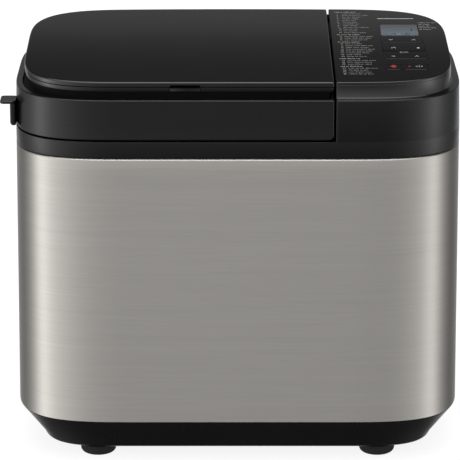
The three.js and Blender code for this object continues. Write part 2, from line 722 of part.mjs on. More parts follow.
// The rounded lower right corner of the lid's front wall.
function lowerCorner() {
  const radius = 5;
  const shape = new THREE.Shape();
  shape.moveTo(1, -1);
  shape.lineTo(1, radius);
  shape.lineTo(0, radius);
  shape.absarc(-radius, radius, radius, 0, -Math.PI / 2, true);
  shape.lineTo(-radius, -1);
  shape.closePath();
  const cutter = slab(shape, [0, 12]).rotateX(Math.PI / 2);
  return cutter.translate(LID_RIGHT, -DEPTH / 2 + 8, LID_BOTTOM);
}

// Finger grip on the lid's left wall, near the front.
function lidGrip() {
  const wallX = -WIDTH / 2 + 0.6 - GAP;
  const front = -DEPTH / 2 + 50;
  const flange = slab(roundedRectangle(9, 11, 3.5), [320.2, 322.9], wallX - 3, front + 11);
  const stem = slab(roundedRectangle(4, 10.7, 1.5), [301, 321], wallX + 0.8, front + 11);
  const wall = shell([[LID_BOTTOM - 5, 0.3 - GAP - 0.1], [LEDGE + 5, 1 - GAP - 0.1]], { rear: LID_REAR });
  add("lid_grip", cut(join(flange, stem), wall), BLACK);
}

function lidUnderside() {
  const sheet = shell([[300.6, SHELL + 1], [302.4, SHELL + 1]], { rear: LID_REAR + 1 });
  const plate = common(sheet, lidSide(LID_RIGHT - SHELL - 0.5));
  const notches = LID_HINGES.map(({ lug, bracket }) => {
    const xs = [Math.min(lug[0], bracket[0]) - 1, Math.max(lug[1], bracket[1]) + 1];
    return rodAlongX(7, xs, HINGE.y, HINGE.z);
  });
  add("lid_underside", cut(plate, roundedSlab(99.4, 104.4, 36, [290, 310]), ...notches), BLACK);
  const liner = roundedSlab(99, 104, 36, [300.9, 301.9]);
  const flapsX = [TRAY_BOX.x0 - 3, YEAST.x + YEAST.radius + 5];
  const flapHole = block(flapsX, [TRAY_BOX.y0 - 4, TRAY_BOX.y1 + 5], [290, 310]);
  const steamHole = roundedSlab(16, 5, 4, [290, 310], CHAMBER_X, 70);
  add("lid_liner", cut(liner, flapHole, steamHole), BRIGHT);
  const seal = cut(roundedSlab(96.5, 102.5, 34, [297.2, 300.6]), roundedSlab(92.5, 98.5, 30, [290, 310]));
  add("lid_seal", seal, SILICONE);
  const vent = roundedSlab(22, 12, 5, [302.4, 312], CHAMBER_X, 70);
  const slots = [-2, -1, 0, 1, 2].map((i) => {
    const x = CHAMBER_X + i * 7;
    return block([x - 2, x + 2], [62, 78], [290, 320]);
  });
  add("steam_vent", cut(vent, ...slots), BLACK);
}

// ---- dispenser ----

function nutDispenser() {
  const { x0, x1, y0, y1, low, high } = TRAY_BOX;
  const wall = 1.5;
  const flange = block([x0 - 4, x1 + 4], [y0 - 4, y1 + 4], [LEDGE + GAP, high]);
  const body = block([x0, x1], [y0, y1], [low, high]);
  const earSpan = [y1 - 7, y1];
  const sides = [[x0, x0 + wall], [x1 - wall, x1]];
  const ears = sides.map((xs) => block(xs, earSpan, [FLAP_AXIS_Z - 2.6, low + 1]));
  const inside = block([x0 + wall, x1 - wall], [y0 + wall, y1 - wall], [low - 1, high + 1]);
  const bore = rodAlongX(1.3, [x0 - 5, x1 + 5], y1 - 3.5, FLAP_AXIS_Z, 12);
  add("nut_tray", cut(join(flange, body, ...ears), inside, bore), BLACK);
  const plate = block([x0 + 2, x1 - 2], [y0, y1 - 3.5], [FLAP_AXIS_Z - 1, FLAP_AXIS_Z + 1]);
  const pin = rodAlongX(1, [x0 + 0.2, x1 - 0.2], y1 - 3.5, FLAP_AXIS_Z, 12);
  add("nut_flap", join(plate, pin), BRIGHT);
}

function yeastDispenser() {
  const { x, y, radius, low, high } = YEAST;
  const profile = [
    [radius - 1.5, low],
    [radius, low],
    [radius, LEDGE + GAP],
    [radius + 3, LEDGE + GAP],
    [radius + 3, high],
    [radius - 1.5, high],
    [radius - 1.5, low],
  ];
  const cup = turned(profile, x, y);
  const hingeY = y + radius + 1.5;
  const ears = [-1, 1].map((side) => {
    const xs = [x + side * 9.5, x + side * 8].sort((a, b) => a - b);
    return block(xs, [hingeY - 5, hingeY + 2.5], [FLAP_AXIS_Z - 2.6, low + 4]);
  });
  const inner = post(radius - 1.5, [low - 10, high + 5], x, y);
  const bore = rodAlongX(1.3, [x - 12, x + 12], hingeY, FLAP_AXIS_Z, 12);
  const bowl = cut(inner, block([-FAR, FAR], [y + 8, FAR], [0, FAR]));
  add("yeast_cup", cut(join(cup, ...ears), bowl, bore), BLACK);
  const plate = post(radius, [FLAP_AXIS_Z - 1, FLAP_AXIS_Z + 1], x, y);
  const arm = block([x - 7.6, x + 7.6], [y, hingeY], [FLAP_AXIS_Z - 1, FLAP_AXIS_Z + 1]);
  const pin = rodAlongX(1, [x - 9.3, x + 9.3], hingeY, FLAP_AXIS_Z, 12);
  const clear = [-1, 1].map((side) => {
    const xs = [x + side * 7.7, x + side * 10.5].sort((a, b) => a - b);
    return block(xs, [hingeY - 6, hingeY - 1.3], [300, 310]);
  });
  add("yeast_valve", cut(join(plate, arm, pin), ...clear), BRIGHT);
}

const SOLENOID = { x: 30, y: -31, z: 316 };

function solenoid() {
  const { x, y, z } = SOLENOID;
  const coil = block([x - 14, x + 14], [y - 11, y + 11], [z - 9, z + 9]);
  add("flap_solenoid", cut(coil, rodAlongX(3.6, [x - 20, x + 10], y, z, 16)), COATED);
  const rod = rodAlongX(3.2, [x - 22, x + 4], y, z, 16);
  const head = rodAlongX(5, [x - 24, x - 21], y, z, 16);
  add("solenoid_plunger", join(rod, head), BRIGHT);
}

// ---- dispenser lid ----

const CATCH = { x: -45.8, halfX: 12.9 };

function dispenserLid() {
  const { x, halfX } = CATCH;
  const finger = onSlope(block([x - halfX, x + halfX], [-5, 9], [-5.5, -2.8]));
  const plate = common(topPlate(TOP_INSET, -4.3, 0), lidSide(LID_RIGHT));
  add("dispenser_plate", cut(plate, finger), GLOSS_BLACK);
  const layer = common(topPlate(TOP_INSET + 0.4, -8.7, -4.6), lidSide(LID_RIGHT - 0.4));
  const { y, z, lug, pin } = DISPENSER_HINGE;
  const knuckles = SMALL_HINGES.map(({ lug: [x0, x1] }) => {
    const eye = onSlope(rodAlongX(lug, [x0, x1], y, z, 16));
    const web = onSlope(block([x0, x1], [y - lug, y + lug], [z, -7]));
    return join(eye, web);
  });
  const bore = onSlope(rodAlongX(pin + GAP, [-FAR, FAR], y, z, 12));
  const pocket = onSlope(block([x - halfX - 0.4, x + halfX + 0.4], [-5, 15], [-12, -2]));
  add("dispenser_carrier", cut(join(layer, ...knuckles), bore, pocket), BLACK);
  const tab = block([x - halfX, x + halfX], [0.4, 13], [-8.3, -5.6]);
  const leg = block([x - 5, x + 5], [10.4, 12.6], [-14.3, -6]);
  const nose = block([x - 5, x + 5], [9.1, 12], [-14.3, -12]);
  add("lid_catch", join(onSlope(tab), onSlope(leg), onSlope(nose)), BLACK);
}

// ---- hinge pieces ----

function hingePieces() {
  LID_HINGES.forEach(({ bracket, pin }, i) => {
    const side = i === 0 ? "left" : "right";
    const eye = rodAlongX(HINGE.lug, bracket, HINGE.y, HINGE.z);
    const foot = block(bracket, [HINGE.y - 3.8, HINGE.y + 3.8], [COLLAR_TOP + GAP, HINGE.z]);
    const bore = rodAlongX(HINGE.pin + GAP, pin, HINGE.y, HINGE.z);
    add("hinge_bracket_" + side, cut(join(eye, foot), bore), BLACK);
    const [x0, x1] = pin;
    add("hinge_pin_" + side, rodAlongX(HINGE.pin, [x0 + GAP, x1 - GAP], HINGE.y, HINGE.z), BRIGHT);
  });
  const [left, right] = SMALL_HINGES;
  const span = [left.pin[0], right.pin[1]];
  const rod = onSlope(rodAlongX(DISPENSER_HINGE.pin, span, DISPENSER_HINGE.y, DISPENSER_HINGE.z, 12));
  add("dispenser_pin", rod, BRIGHT);
}

// ---- assembly ----

baseTray();
feet();
steelWrap();
cordInlet();
rearGrille();
topFrame();
controlPanel();
ovenLiner();
heaterElement();
temperatureSensor();
panLockRing();
heatShield();
breadPan();
panHandle();
panFoot();
shaftBearing();
kneader();
driveTrain();
electronics();
lidFrame();
lidGrip();
lidUnderside();
nutDispenser();
yeastDispenser();
solenoid();
dispenserLid();
hingePieces();

// The origin is the middle of the bottom of the machine's own box.
const box = new THREE.Box3().setFromObject(root, true);
const middle = box.getCenter(new THREE.Vector3());
root.position.set(-middle.x, -middle.y, -box.min.z);

export default root;
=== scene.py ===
"""Bread machine: moulded black housing with a brushed steel band, lid with dispenser, sloping panel.

Shapes are drawn in millimetres, X and Y from the middle of the housing and Z from the table, and
their finished meshes go into the shared frame in metres.
"""
import json
import math

import bpy
import numpy as np
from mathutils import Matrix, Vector
from mathutils.geometry import tessellate_polygon


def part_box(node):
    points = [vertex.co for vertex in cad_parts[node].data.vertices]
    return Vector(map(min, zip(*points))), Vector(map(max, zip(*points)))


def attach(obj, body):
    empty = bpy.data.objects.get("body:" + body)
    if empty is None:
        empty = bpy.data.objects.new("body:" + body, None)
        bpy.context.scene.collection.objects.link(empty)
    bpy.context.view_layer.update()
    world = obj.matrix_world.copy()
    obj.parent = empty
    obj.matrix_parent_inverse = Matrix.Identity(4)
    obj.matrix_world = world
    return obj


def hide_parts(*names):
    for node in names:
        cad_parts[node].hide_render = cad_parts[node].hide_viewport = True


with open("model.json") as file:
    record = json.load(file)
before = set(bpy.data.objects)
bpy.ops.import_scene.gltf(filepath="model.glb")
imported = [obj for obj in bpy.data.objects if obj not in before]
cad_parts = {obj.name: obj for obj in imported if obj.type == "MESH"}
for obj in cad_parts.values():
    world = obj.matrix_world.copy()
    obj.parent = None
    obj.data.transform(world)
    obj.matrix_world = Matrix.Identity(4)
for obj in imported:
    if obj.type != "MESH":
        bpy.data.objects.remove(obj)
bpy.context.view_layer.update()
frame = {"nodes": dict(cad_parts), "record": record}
MM = 0.001

# ---- the housing's measures, from the frame ----


def box_mm(node):
    """Lowest and highest corner of a node, in millimetres."""
    low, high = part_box(node)
    return np.array(low) / MM, np.array(high) / MM


FRAME_LOW, FRAME_HIGH = box_mm("top_frame")
MIDDLE = np.array([*(FRAME_LOW + FRAME_HIGH)[:2] / 2, 0.0])
WIDTH, DEPTH = (FRAME_HIGH - FRAME_LOW)[:2]


def local(node):
    """Corners of a node in the housing's frame."""
    low, high = box_mm(node)
    return low - MIDDLE, high - MIDDLE


def centre_of(node):
    """Middle of a node's box in the housing's frame."""
    low, high = local(node)
    return (low + high) / 2


# Corners in plan: radius and exponent of the superellipse, and the small corners at the seam.
CORNER = 109.0
SQUARENESS = 3.37
CORNER_STEPS = 40
LID_CORNER = 1.0
PANEL_CORNER = 0.9

STEEL_LOW, STEEL_TOP = (corner[2] for corner in local("steel_wrap"))
BAND_LOW = STEEL_TOP + 0.3
BAND_TOP = 298.7
LID_LOW = 300.2
LEDGE = 335.6
LID_RIGHT = local("dispenser_plate")[1][0]
PANEL_LEFT = local("panel_cover")[0][0]
GROOVE = LEDGE - 1.9
TOP_INSET = 8.8
FRONT_EDGE = TOP_INSET - DEPTH / 2
TOP_FRONT = 350.0
SLOPE = math.radians(3.1)
CHAMBER_X = centre_of("bread_pan")[0]

# Width of the step where an edge jumps to another height, and the angle that counts as an edge.
HAIR = 0.05
SHARP_ANGLE = math.radians(40)

# How much further in the back edge stands, and how far it bulges out again in the middle.
TOP_PLAN = dict(rear=2.5, bow=5.5)
LID_PLAN = dict(rear=6.0, bow=0.0)
NECK_PLAN = dict(rear=5.0, bow=5.5)
FULL_PLAN = dict(rear=0.0, bow=0.0)


def top_plane(y):
    """Height of the sloping top plane over a point."""
    return TOP_FRONT + (y - FRONT_EDGE) * math.tan(SLOPE)


def under(depth):
    """A height that stays the same depth below the top plane."""
    return lambda x, y: top_plane(y) - depth


# ---- outlines ----


def quarter():
    """Quarter of a superellipse x^n + y^n = 1 from (1, 0) to (0, 1), by the direction of its normal.
    Its steps crowd towards both ends, where it runs out softly into the straight sides."""
    share = 0.5 - 0.5 * np.cos(np.linspace(0, np.pi, CORNER_STEPS + 1))
    cosine = np.clip(np.cos(share * np.pi / 2), 0, 1)
    sine = np.clip(np.sin(share * np.pi / 2), 0, 1)
    power = 1 / (SQUARENESS - 1)
    size = (cosine ** (SQUARENESS * power) + sine ** (SQUARENESS * power)) ** (1 / SQUARENESS)
    return cosine**power / size, sine**power / size


def turn(centre_x, centre_y, radius, start, end, steps=5):
    """Arc of a small corner between two angles in degrees."""
    angle = np.radians(np.linspace(start, end, steps + 1))
    return centre_x + radius * np.cos(angle), centre_y + radius * np.sin(angle)


def outline(inset, side="full", clip=0.0, plan=FULL_PLAN, stops=(), back_stops=()):
    """Plan outline, counter-clockwise: straight sides between four soft superellipse corners.

    side keeps the whole outline, the lid's part left of the seam, or the panel's part right of it,
    whose cut edge moves in by clip and has small round corners. stops and back_stops are extra
    places along the front and the back. The back moves in by plan's rear and bulges by its bow in a
    parabola.
    """
    radius = CORNER - 1.57 * inset
    half = WIDTH / 2 - inset
    front = inset - DEPTH / 2
    back = DEPTH / 2 - inset - plan["rear"]
    run = half - radius
    u, v = quarter()
    front_right = (run + radius * u[::-1], front + radius - radius * v[::-1])
    back_right = (run + radius * u, back - radius + radius * v)
    back_left = (-run - radius * u[::-1], back - radius + radius * v[::-1])
    front_left = (-run - radius * u, front + radius - radius * v)
    middle = np.linspace(-70, 70, 15)
    places = np.unique([*middle, *stops])
    back_places = np.unique([*middle, *back_stops])[::-1]
    line = lambda xs, y: (xs, np.full(len(xs), y))
    if side == "full":
        runs = [front_right, back_right, line(back_places, back), back_left, front_left]
        runs.append(line(places, front))
    elif side == "lid":
        small = LID_CORNER
        edge = LID_RIGHT - clip
        low = turn(edge - small, front + small, small, -90, 0)
        high = turn(edge - small, back - small, small, 0, 90)
        cut = (np.full(6, edge), np.linspace(front, back, 8)[1:-1])
        backs = line(np.minimum(back_places, edge - small), back)
        runs = [low, cut, high, backs, back_left, front_left]
        runs.append(line(np.minimum(places, edge - small - 0.01), front))
    else:
        small = PANEL_CORNER
        edge = PANEL_LEFT + clip
        high = turn(edge + small, back - small, small, 90, 180)
        low = turn(edge + small, front + small, small, 180, 270)
        cut = (np.full(6, edge), np.linspace(back, front, 8)[1:-1])
        runs = [high, cut, low, front_right, back_right]
    x = np.concatenate([r[0] for r in runs])
    y = np.concatenate([r[1] for r in runs])
    towards_back = np.clip(y / back, 0, None) ** 4
    y = y + plan["bow"] * towards_back * (1 - (x / half) ** 2)
    return np.stack([x, y], axis=1)


def lift(plan, height):
    """A plan's points at a height, which is a number or worked out from x and y."""
    z = height(*plan.T) if callable(height) else np.full(len(plan), float(height))
    return np.column_stack([plan, z])


def ring(inset, height, clip=0.0, **kind):
    """An outline lifted to a height."""
    return lift(outline(inset, clip=clip, **kind), height)


def rings_at(rows, **kind):
    """Rings from rows of (inset, height) or (inset, height, clip)."""
    return [ring(*row, **kind) for row in rows]


def rounded_rectangle(x0, x1, y0, y1, radius, steps=6):
    """Counter-clockwise rectangle with round corners."""
    corners = [
        turn(x1 - radius, y0 + radius, radius, -90, 0, steps),
        turn(x1 - radius, y1 - radius, radius, 0, 90, steps),
        turn(x0 + radius, y1 - radius, radius, 90, 180, steps),
        turn(x0 + radius, y0 + radius, radius, 180, 270, steps),
    ]
    return np.concatenate([np.stack(c, axis=1) for c in corners])


def round_over(inset, radius, steps=5, support=0.7):
    """(inset, drop) pairs over a convex edge: a quarter circle with a close loop on each flat."""
    angle = np.linspace(0, np.pi / 2, steps + 1)
    pairs = list(zip(inset + radius - radius * np.sin(angle), radius - radius * np.cos(angle)))
    return [(inset + radius + support, 0.0)] + pairs + [(inset, radius + support)]


# ---- meshes ----


def to_object(name, points, faces, body, material):
    """A mesh in the shared frame from points in millimetres, smooth but for its sharp edges."""
    mesh = bpy.data.meshes.new(name)
    place = (np.asarray(points, float) + MIDDLE) * MM
    mesh.from_pydata(place.tolist(), [], faces)
    mesh.validate()
    mesh.shade_smooth()
    mesh.set_sharp_from_angle(angle=SHARP_ANGLE)
    piece = bpy.data.objects.new(name, mesh)
    bpy.context.scene.collection.objects.link(piece)
    mesh.materials.append(material)
    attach(piece, body)
    return piece


def grid_faces(rows, columns, close_rows=False, start=0):
    """Quads of a grid of closed loops that follow each other outwards or downwards."""
    i = np.arange(rows if close_rows else rows - 1)
    i, j = (a.ravel() for a in np.meshgrid(i, np.arange(columns), indexing="ij"))
    below, beside = (i + 1) % rows, (j + 1) % columns
    quads = [i * columns + j, below * columns + j, below * columns + beside, i * columns + beside]
    return (np.stack(quads, axis=1) + start).tolist()


def flat_faces(loops, starts, facing):
    """Triangles that fill the first loop and leave the others open, facing up (1) or down (-1)."""
    points = np.concatenate(loops)
    index = np.concatenate([np.arange(len(l)) + s for l, s in zip(loops, starts)])
    faces = []
    for a, b, c in tessellate_polygon([[Vector(p) for p in loop] for loop in loops]):
        area = np.cross(points[b][:2] - points[a][:2], points[c][:2] - points[a][:2])
        if abs(area) < 1e-9:
            continue
        order = (a, b, c) if area * facing > 0 else (a, c, b)
        faces.append([int(index[k]) for k in order])
    return faces


def window_faces(faces, columns, outer, inner, spans):
    """Opens windows through a wall, from the quads after row outer on its outside to those after row
    inner on its inside. Each span of columns loses its quads there, and four sides line it."""
    keep = np.ones(len(faces), bool)
    sides = []
    top, bottom = outer * columns, (outer + 1) * columns
    far_bottom, far_top = inner * columns, (inner + 1) * columns
    for first, last in spans:
        j = np.arange(first, last)
        keep[top + j] = False
        keep[far_bottom + j] = False
        sides += np.stack([bottom + j, bottom + j + 1, far_bottom + j + 1, far_bottom + j], axis=1).tolist()
        sides += np.stack([top + j + 1, top + j, far_top + j, far_top + j + 1], axis=1).tolist()
        sides.append([top + first, bottom + first, far_bottom + first, far_top + first])
        sides.append([bottom + last, top + last, far_top + last, far_bottom + last])
    return [face for face, stays in zip(faces, keep) if stays] + sides


def closed_body(name, rings, body, slot, material, holes=(), hole_heights=(), windows=None):
    """A closed body over rings, with flat faces that fill the first and the last. Holes are loops
    that go through from one flat face to the other."""
    columns = len(rings[0])
    points = [np.concatenate(rings)]
    faces = grid_faces(len(rings), columns)
    if windows:
        faces = window_faces(faces, columns, *windows)
    last = (len(rings) - 1) * columns
    loops_top, starts_top = [rings[0]], [0]
    loops_low, starts_low = [rings[-1]], [last]
    count = len(rings) * columns
    for loop in holes:
        size = len(loop)
        ends = ((loops_top, starts_top), (loops_low, starts_low))
        for height, (loops, starts) in zip(hole_heights, ends):
            points.append(lift(loop, height))
            loops.append(points[-1])
            starts.append(count)
            count += size
        high, low = count - 2 * size, count - size
        j = np.arange(size)
        after = (j + 1) % size
        faces += np.stack([high + j, high + after, low + after, low + j], axis=1).tolist()
    faces += flat_faces(loops_top, starts_top, 1)
    faces += flat_faces(loops_low, starts_low, -1)
    return to_object(name, np.concatenate(points), faces, body, material)


def closed_band(name, rings, body, slot, material):
    """A closed hoop whose section runs through the rings and back to the first one."""
    faces = grid_faces(len(rings), len(rings[0]), close_rows=True)
    return to_object(name, np.concatenate(rings), faces, body, material)


def turned(name, profile, centres, body, slot, material, steps):
    """A profile of (radius, height) points, from axis to axis, turned about an upright axis through
    each of the centres."""
    profile = np.array(profile, float)
    angle = np.linspace(0, 2 * np.pi, steps, endpoint=False)
    radius = np.maximum(profile[:, 0], 1e-4)[:, None]
    height = np.repeat(profile[:, 1][:, None], steps, axis=1)
    shape = np.stack([radius * np.cos(angle), radius * np.sin(angle), height], axis=2).reshape(-1, 3)
    points = np.concatenate([shape + np.array(centre, float) for centre in centres])
    last = (len(profile) - 1) * steps
    faces = []
    for start in range(0, len(points), len(shape)):
        faces += grid_faces(len(profile), steps, start=start)
        faces.append(list(range(start, start + steps)))
        faces.append(list(range(start + last, start + last + steps))[::-1])
    return to_object(name, points, faces, body, material)


def repaint(piece, columns, rows, material, span=(0, None)):
    """Gives another material to the quads between two rows of a piece's grid, over a column span."""
    piece.data.materials.append(material)
    index = np.zeros(len(piece.data.polygons), dtype=np.int32)
    piece.data.polygons.foreach_get("material_index", index)
    grid = index[: rows[1] * columns].reshape(-1, columns)
    grid[rows[0] :, span[0] : span[1]] = len(piece.data.materials) - 1
    piece.data.polygons.foreach_set("material_index", index)


# ---- materials ----


def paint(code):
    """An sRGB hex colour as linear RGBA."""
    parts = [int(code[i : i + 2], 16) / 255 for i in (1, 3, 5)]
    linear = [p / 12.92 if p <= 0.04045 else ((p + 0.055) / 1.055) ** 2.4 for p in parts]
    return (*linear, 1.0)


def add(tree, kind, inputs=None, out=0, to=None, **settings):
    """Adds a node with its settings and links. An input is a value, or a socket to link from. The
    output out goes on to the socket given, and is returned."""
    node = tree.nodes.new(kind)
    for key, value in settings.items():
        setattr(node, key, value)
    for key, value in (inputs or {}).items():
        if isinstance(value, bpy.types.NodeSocket):
            tree.links.new(value, node.inputs[key])
        else:
            node.inputs[key].default_value = value
    if to is not None:
        tree.links.new(node.outputs[out], to)
    return node.outputs[out]


def start_material(name, **constants):
    """A material with a Principled surface whose constants sit on its own sockets."""
    material = bpy.data.materials.new(name)
    material.use_nodes = True
    tree = material.node_tree
    tree.nodes.clear()
    named = {key.replace("_", " "): value for key, value in constants.items()}
    end = tree.nodes.new("ShaderNodeOutputMaterial")
    shader = add(tree, "ShaderNodeBsdfPrincipled", named, to=end.inputs["Surface"])
    place = add(tree, "ShaderNodeTexCoord", out="Object")
    return material, tree, shader.node.inputs, place


def vary(tree, surface, tone, dark, light, sheen, smooth, rough):
    """One pattern runs the colour from dark to light, and one the roughness from smooth to rough."""
    colours = {0: tone, 6: paint(dark), 7: paint(light)}
    add(tree, "ShaderNodeMix", colours, out=2, to=surface["Base Color"], data_type="RGBA")
    spread = {"Value": sheen, "To Min": smooth, "To Max": rough}
    add(tree, "ShaderNodeMapRange", spread, to=surface["Roughness"])


def per_mm(size):
    """Pattern scale, in repeats per metre, for grains of a size in millimetres."""
    return 1 / (size * MM)


def moulded(name, dark, light, roughness, grain_mm, depth_mm, gloss=0.5):
    """Plastic or rubber from a lightly eroded mould: an even colour, a fine grain that breaks up
    reflections, and wide faint patches where handling has changed the sheen."""
    material, tree, surface, place = start_material(name, Specular_IOR_Level=gloss, IOR=1.5)
    wide = {"Vector": place, "Scale": per_mm(60.0), "Detail": 3.0}
    patches = add(tree, "ShaderNodeTexNoise", wide)
    fine = {"Vector": place, "Scale": per_mm(grain_mm), "Roughness": 0.6}
    grain = add(tree, "ShaderNodeTexNoise", fine)
    colours = {0: patches, 6: paint(dark), 7: paint(light)}
    add(tree, "ShaderNodeMix", colours, out=2, to=surface["Base Color"], data_type="RGBA")
    sheen = {"Value": patches, "To Min": roughness * 0.9, "To Max": roughness * 1.12}
    handled = add(tree, "ShaderNodeMapRange", sheen)
    uneven = add(tree, "ShaderNodeMapRange", {"Value": grain, "To Min": -0.03, "To Max": 0.03})
    add(tree, "ShaderNodeMath", {0: handled, 1: uneven}, to=surface["Roughness"], operation="ADD")
    relief = {"Height": grain, "Distance": depth_mm * MM}
    add(tree, "ShaderNodeBump", relief, to=surface["Normal"])
    return material


def printed_ink(name, dark, light):
    """Screen-printed ink: a flat matt film whose tone and sheen vary a little with the screen's mesh,
    which is 0.1 mm, drawn here at 0.5 mm so that it shows."""
    material, tree, surface, place = start_material(name, IOR=1.5, Specular_IOR_Level=0.4)
    mesh = add(tree, "ShaderNodeTexNoise", {"Vector": place, "Scale": per_mm(0.5), "Detail": 2.0})
    vary(tree, surface, mesh, dark, light, mesh, 0.42, 0.58)
    add(tree, "ShaderNodeBump", {"Height": mesh, "Distance": 0.002 * MM}, to=surface["Normal"])
    return material


def brushed_stainless():
    """Stainless sheet brushed round the band: reflections smear upwards and downwards, and each hair
    line is a little lighter or darker. The lines are really 0.1 mm apart, drawn here at 0.9 mm so
    that they show."""
    name = "brushed_stainless_sheet"
    material, tree, surface, place = start_material(name, Metallic=1.0, Anisotropic=0.85)
    along = add(tree, "ShaderNodeMapping", {"Vector": place, "Scale": (0.012, 0.012, 1.0)})
    hair = {"Vector": along, "Scale": per_mm(0.9), "Detail": 3.0, "Roughness": 0.7}
    lines = add(tree, "ShaderNodeTexNoise", hair)
    bands = add(tree, "ShaderNodeTexNoise", {"Vector": along, "Scale": per_mm(7.0), "Detail": 2.0})
    faint = add(tree, "ShaderNodeMath", {0: bands, 1: 0.3, 2: lines}, operation="MULTIPLY_ADD")
    tone = add(tree, "ShaderNodeMapRange", {"Value": faint, "From Min": 0.35, "From Max": 0.95})
    vary(tree, surface, tone, "#b4b1ac", "#c0bdb8", lines, 0.4, 0.42)
    add(tree, "ShaderNodeCombineXYZ", {"Z": 1.0}, to=surface["Tangent"])
    add(tree, "ShaderNodeBump", {"Height": lines, "Distance": 0.0008 * MM}, to=surface["Normal"])
    return material


def plain_metal(name, dark, light, roughness, grain_mm):
    """Plain rolled or turned metal: cloudy grain in tone and sheen."""
    material, tree, surface, place = start_material(name, Metallic=1.0)
    cloud = {"Vector": place, "Scale": per_mm(grain_mm), "Detail": 4.0, "Roughness": 0.6}
    grain = add(tree, "ShaderNodeTexNoise", cloud)
    vary(tree, surface, grain, dark, light, grain, roughness * 0.8, roughness * 1.25)
    add(tree, "ShaderNodeBump", {"Height": grain, "Distance": 0.004 * MM}, to=surface["Normal"])
    return material


def speckled_coating():
    """Non-stick coating baked on aluminium: dark grey with fine pale specks and a dull sheen."""
    material, tree, surface, place = start_material("baked_non_stick_coating", IOR=1.4)
    specks = add(tree, "ShaderNodeTexVoronoi", {"Vector": place, "Scale": per_mm(1.6)})
    dots = add(tree, "ShaderNodeMapRange", {"Value": specks, "From Min": 0.1, "From Max": 0.2})
    cloud = add(tree, "ShaderNodeTexNoise", {"Vector": place, "Scale": per_mm(12.0)})
    vary(tree, surface, dots, "#6c6b69", "#2c2c2d", cloud, 0.38, 0.5)
    add(tree, "ShaderNodeBump", {"Height": specks, "Distance": 0.01 * MM}, to=surface["Normal"])
    return material


def display_face():
    """Polished window over a liquid crystal panel: blue-grey with painted shade, darker towards the back
    and lighter towards the front, with the faint clouds of its polariser."""
    finish = dict(Roughness=0.08, IOR=1.5, Coat_Weight=0.6, Coat_Roughness=0.04)
    material, tree, surface, place = start_material("display_window_over_lcd", **finish)
    along = add(tree, "ShaderNodeSeparateXYZ", {"Vector": place}, out="Y")
    low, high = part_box("display_window")
    # Painted shade: the colour runs from dark at the back edge to light at the front edge.
    span = {"Value": along, "From Min": high[1], "From Max": low[1]}
    share = add(tree, "ShaderNodeMapRange", span)
    cloud = add(tree, "ShaderNodeTexNoise", {"Vector": place, "Scale": per_mm(4.0)})
    soft = add(tree, "ShaderNodeMapRange", {"Value": cloud, "To Min": -0.1, "To Max": 0.1})
    total = add(tree, "ShaderNodeMath", {0: share, 1: soft}, operation="ADD", use_clamp=True)
    colours = {0: total, 6: paint("#23262d"), 7: paint("#53626f")}
    add(tree, "ShaderNodeMix", colours, out=2, to=surface["Base Color"], data_type="RGBA")
    return material


def circuit_board():
    """Glass-fibre board under green solder mask: darker copper tracks, and a sheen that wanders."""
    material, tree, surface, place = start_material("solder_masked_board", IOR=1.5)
    cells = {"Vector": place, "Scale": per_mm(6.0)}
    tracks = add(tree, "ShaderNodeTexVoronoi", cells, distance="MANHATTAN")
    lines = add(tree, "ShaderNodeMapRange", {"Value": tracks, "From Min": 0.3, "From Max": 0.34})
    cloud = add(tree, "ShaderNodeTexNoise", {"Vector": place, "Scale": per_mm(3.0)})
    vary(tree, surface, lines, "#3f7a4c", "#1f4d2e", cloud, 0.35, 0.5)
    return material


SATIN = moulded("satin_moulded_abs", "#080808", "#0a0a0a", 0.27, 0.9, 0.008, 0.45)
# Low-sheen copy of the black plastic used as painted shade: it darkens the neck under the dispenser lid,
# the sides of the seam, and the rib in the seam.
PAINTED_SHADE_MATT = moulded("matt_abs_painted_shade", "#0a0a0a", "#0c0c0c", 0.6, 0.7, 0.02, 0.12)
POLISHED = moulded("polished_moulded_abs", "#080808", "#0a0a0a", 0.19, 1.2, 0.002, 0.64)
GLOSS = moulded("glossy_lid_plastic", "#080708", "#0a090a", 0.15, 1.6, 0.002, 0.33)
KEYCAP = moulded("key_cap_plastic", "#070607", "#090809", 0.15, 1.6, 0.002, 0.24)
INNER = moulded("unpainted_inner_plastic", "#2b2b2d", "#333335", 0.5, 1.2, 0.02)
RUBBER = moulded("moulded_rubber", "#101011", "#161617", 0.75, 0.7, 0.03, 0.3)
SILICONE = moulded("pressed_silicone", "#8a8883", "#97958f", 0.55, 1.5, 0.02, 0.4)
STEEL = brushed_stainless()
SHEET = plain_metal("rolled_sheet_steel", "#8b8c8d", "#a3a4a4", 0.35, 3.0)
ALUMINIUM = plain_metal("satin_aluminium", "#b2b3b3", "#c6c6c5", 0.3, 1.6)
BRASS = plain_metal("turned_brass", "#a98548", "#bd9a5b", 0.3, 0.8)
COATING = speckled_coating()
DISPLAY = display_face()
BOARD = circuit_board()
PALE_INK = printed_ink("pale_ink", "#a9a9a6", "#b9b9b6")
GREY_INK = printed_ink("grey_ink", "#93938f", "#9f9f9b")
DIM_INK = printed_ink("dim_ink", "#747472", "#80807e")
RED_INK = printed_ink("red_ink", "#a3312b", "#b83c33")
SEGMENT = printed_ink("display_segment", "#16181c", "#1c1e22")

# Body, slot and material of the plastic pieces.
SHELL = ("chassis", "black_shell", SATIN)
LID_PART = ("lid", "black_shell", SATIN)

SLOT_MATERIAL = {
    "black_shell": SATIN,
    "gloss_panel": GLOSS,
    "key_black": KEYCAP,
    "brushed_wrap": STEEL,
    "sheet_steel": SHEET,
    "bright_metal": ALUMINIUM,
    "pan_coating": COATING,
    "inner_plastic": INNER,
    "foot_rubber": RUBBER,
    "belt_rubber": RUBBER,
    "seal_silicone": SILICONE,
    "circuit_board": BOARD,
    "display_glass": DISPLAY,
    "bearing_brass": BRASS,
}


# ---- camera, floor and light ----


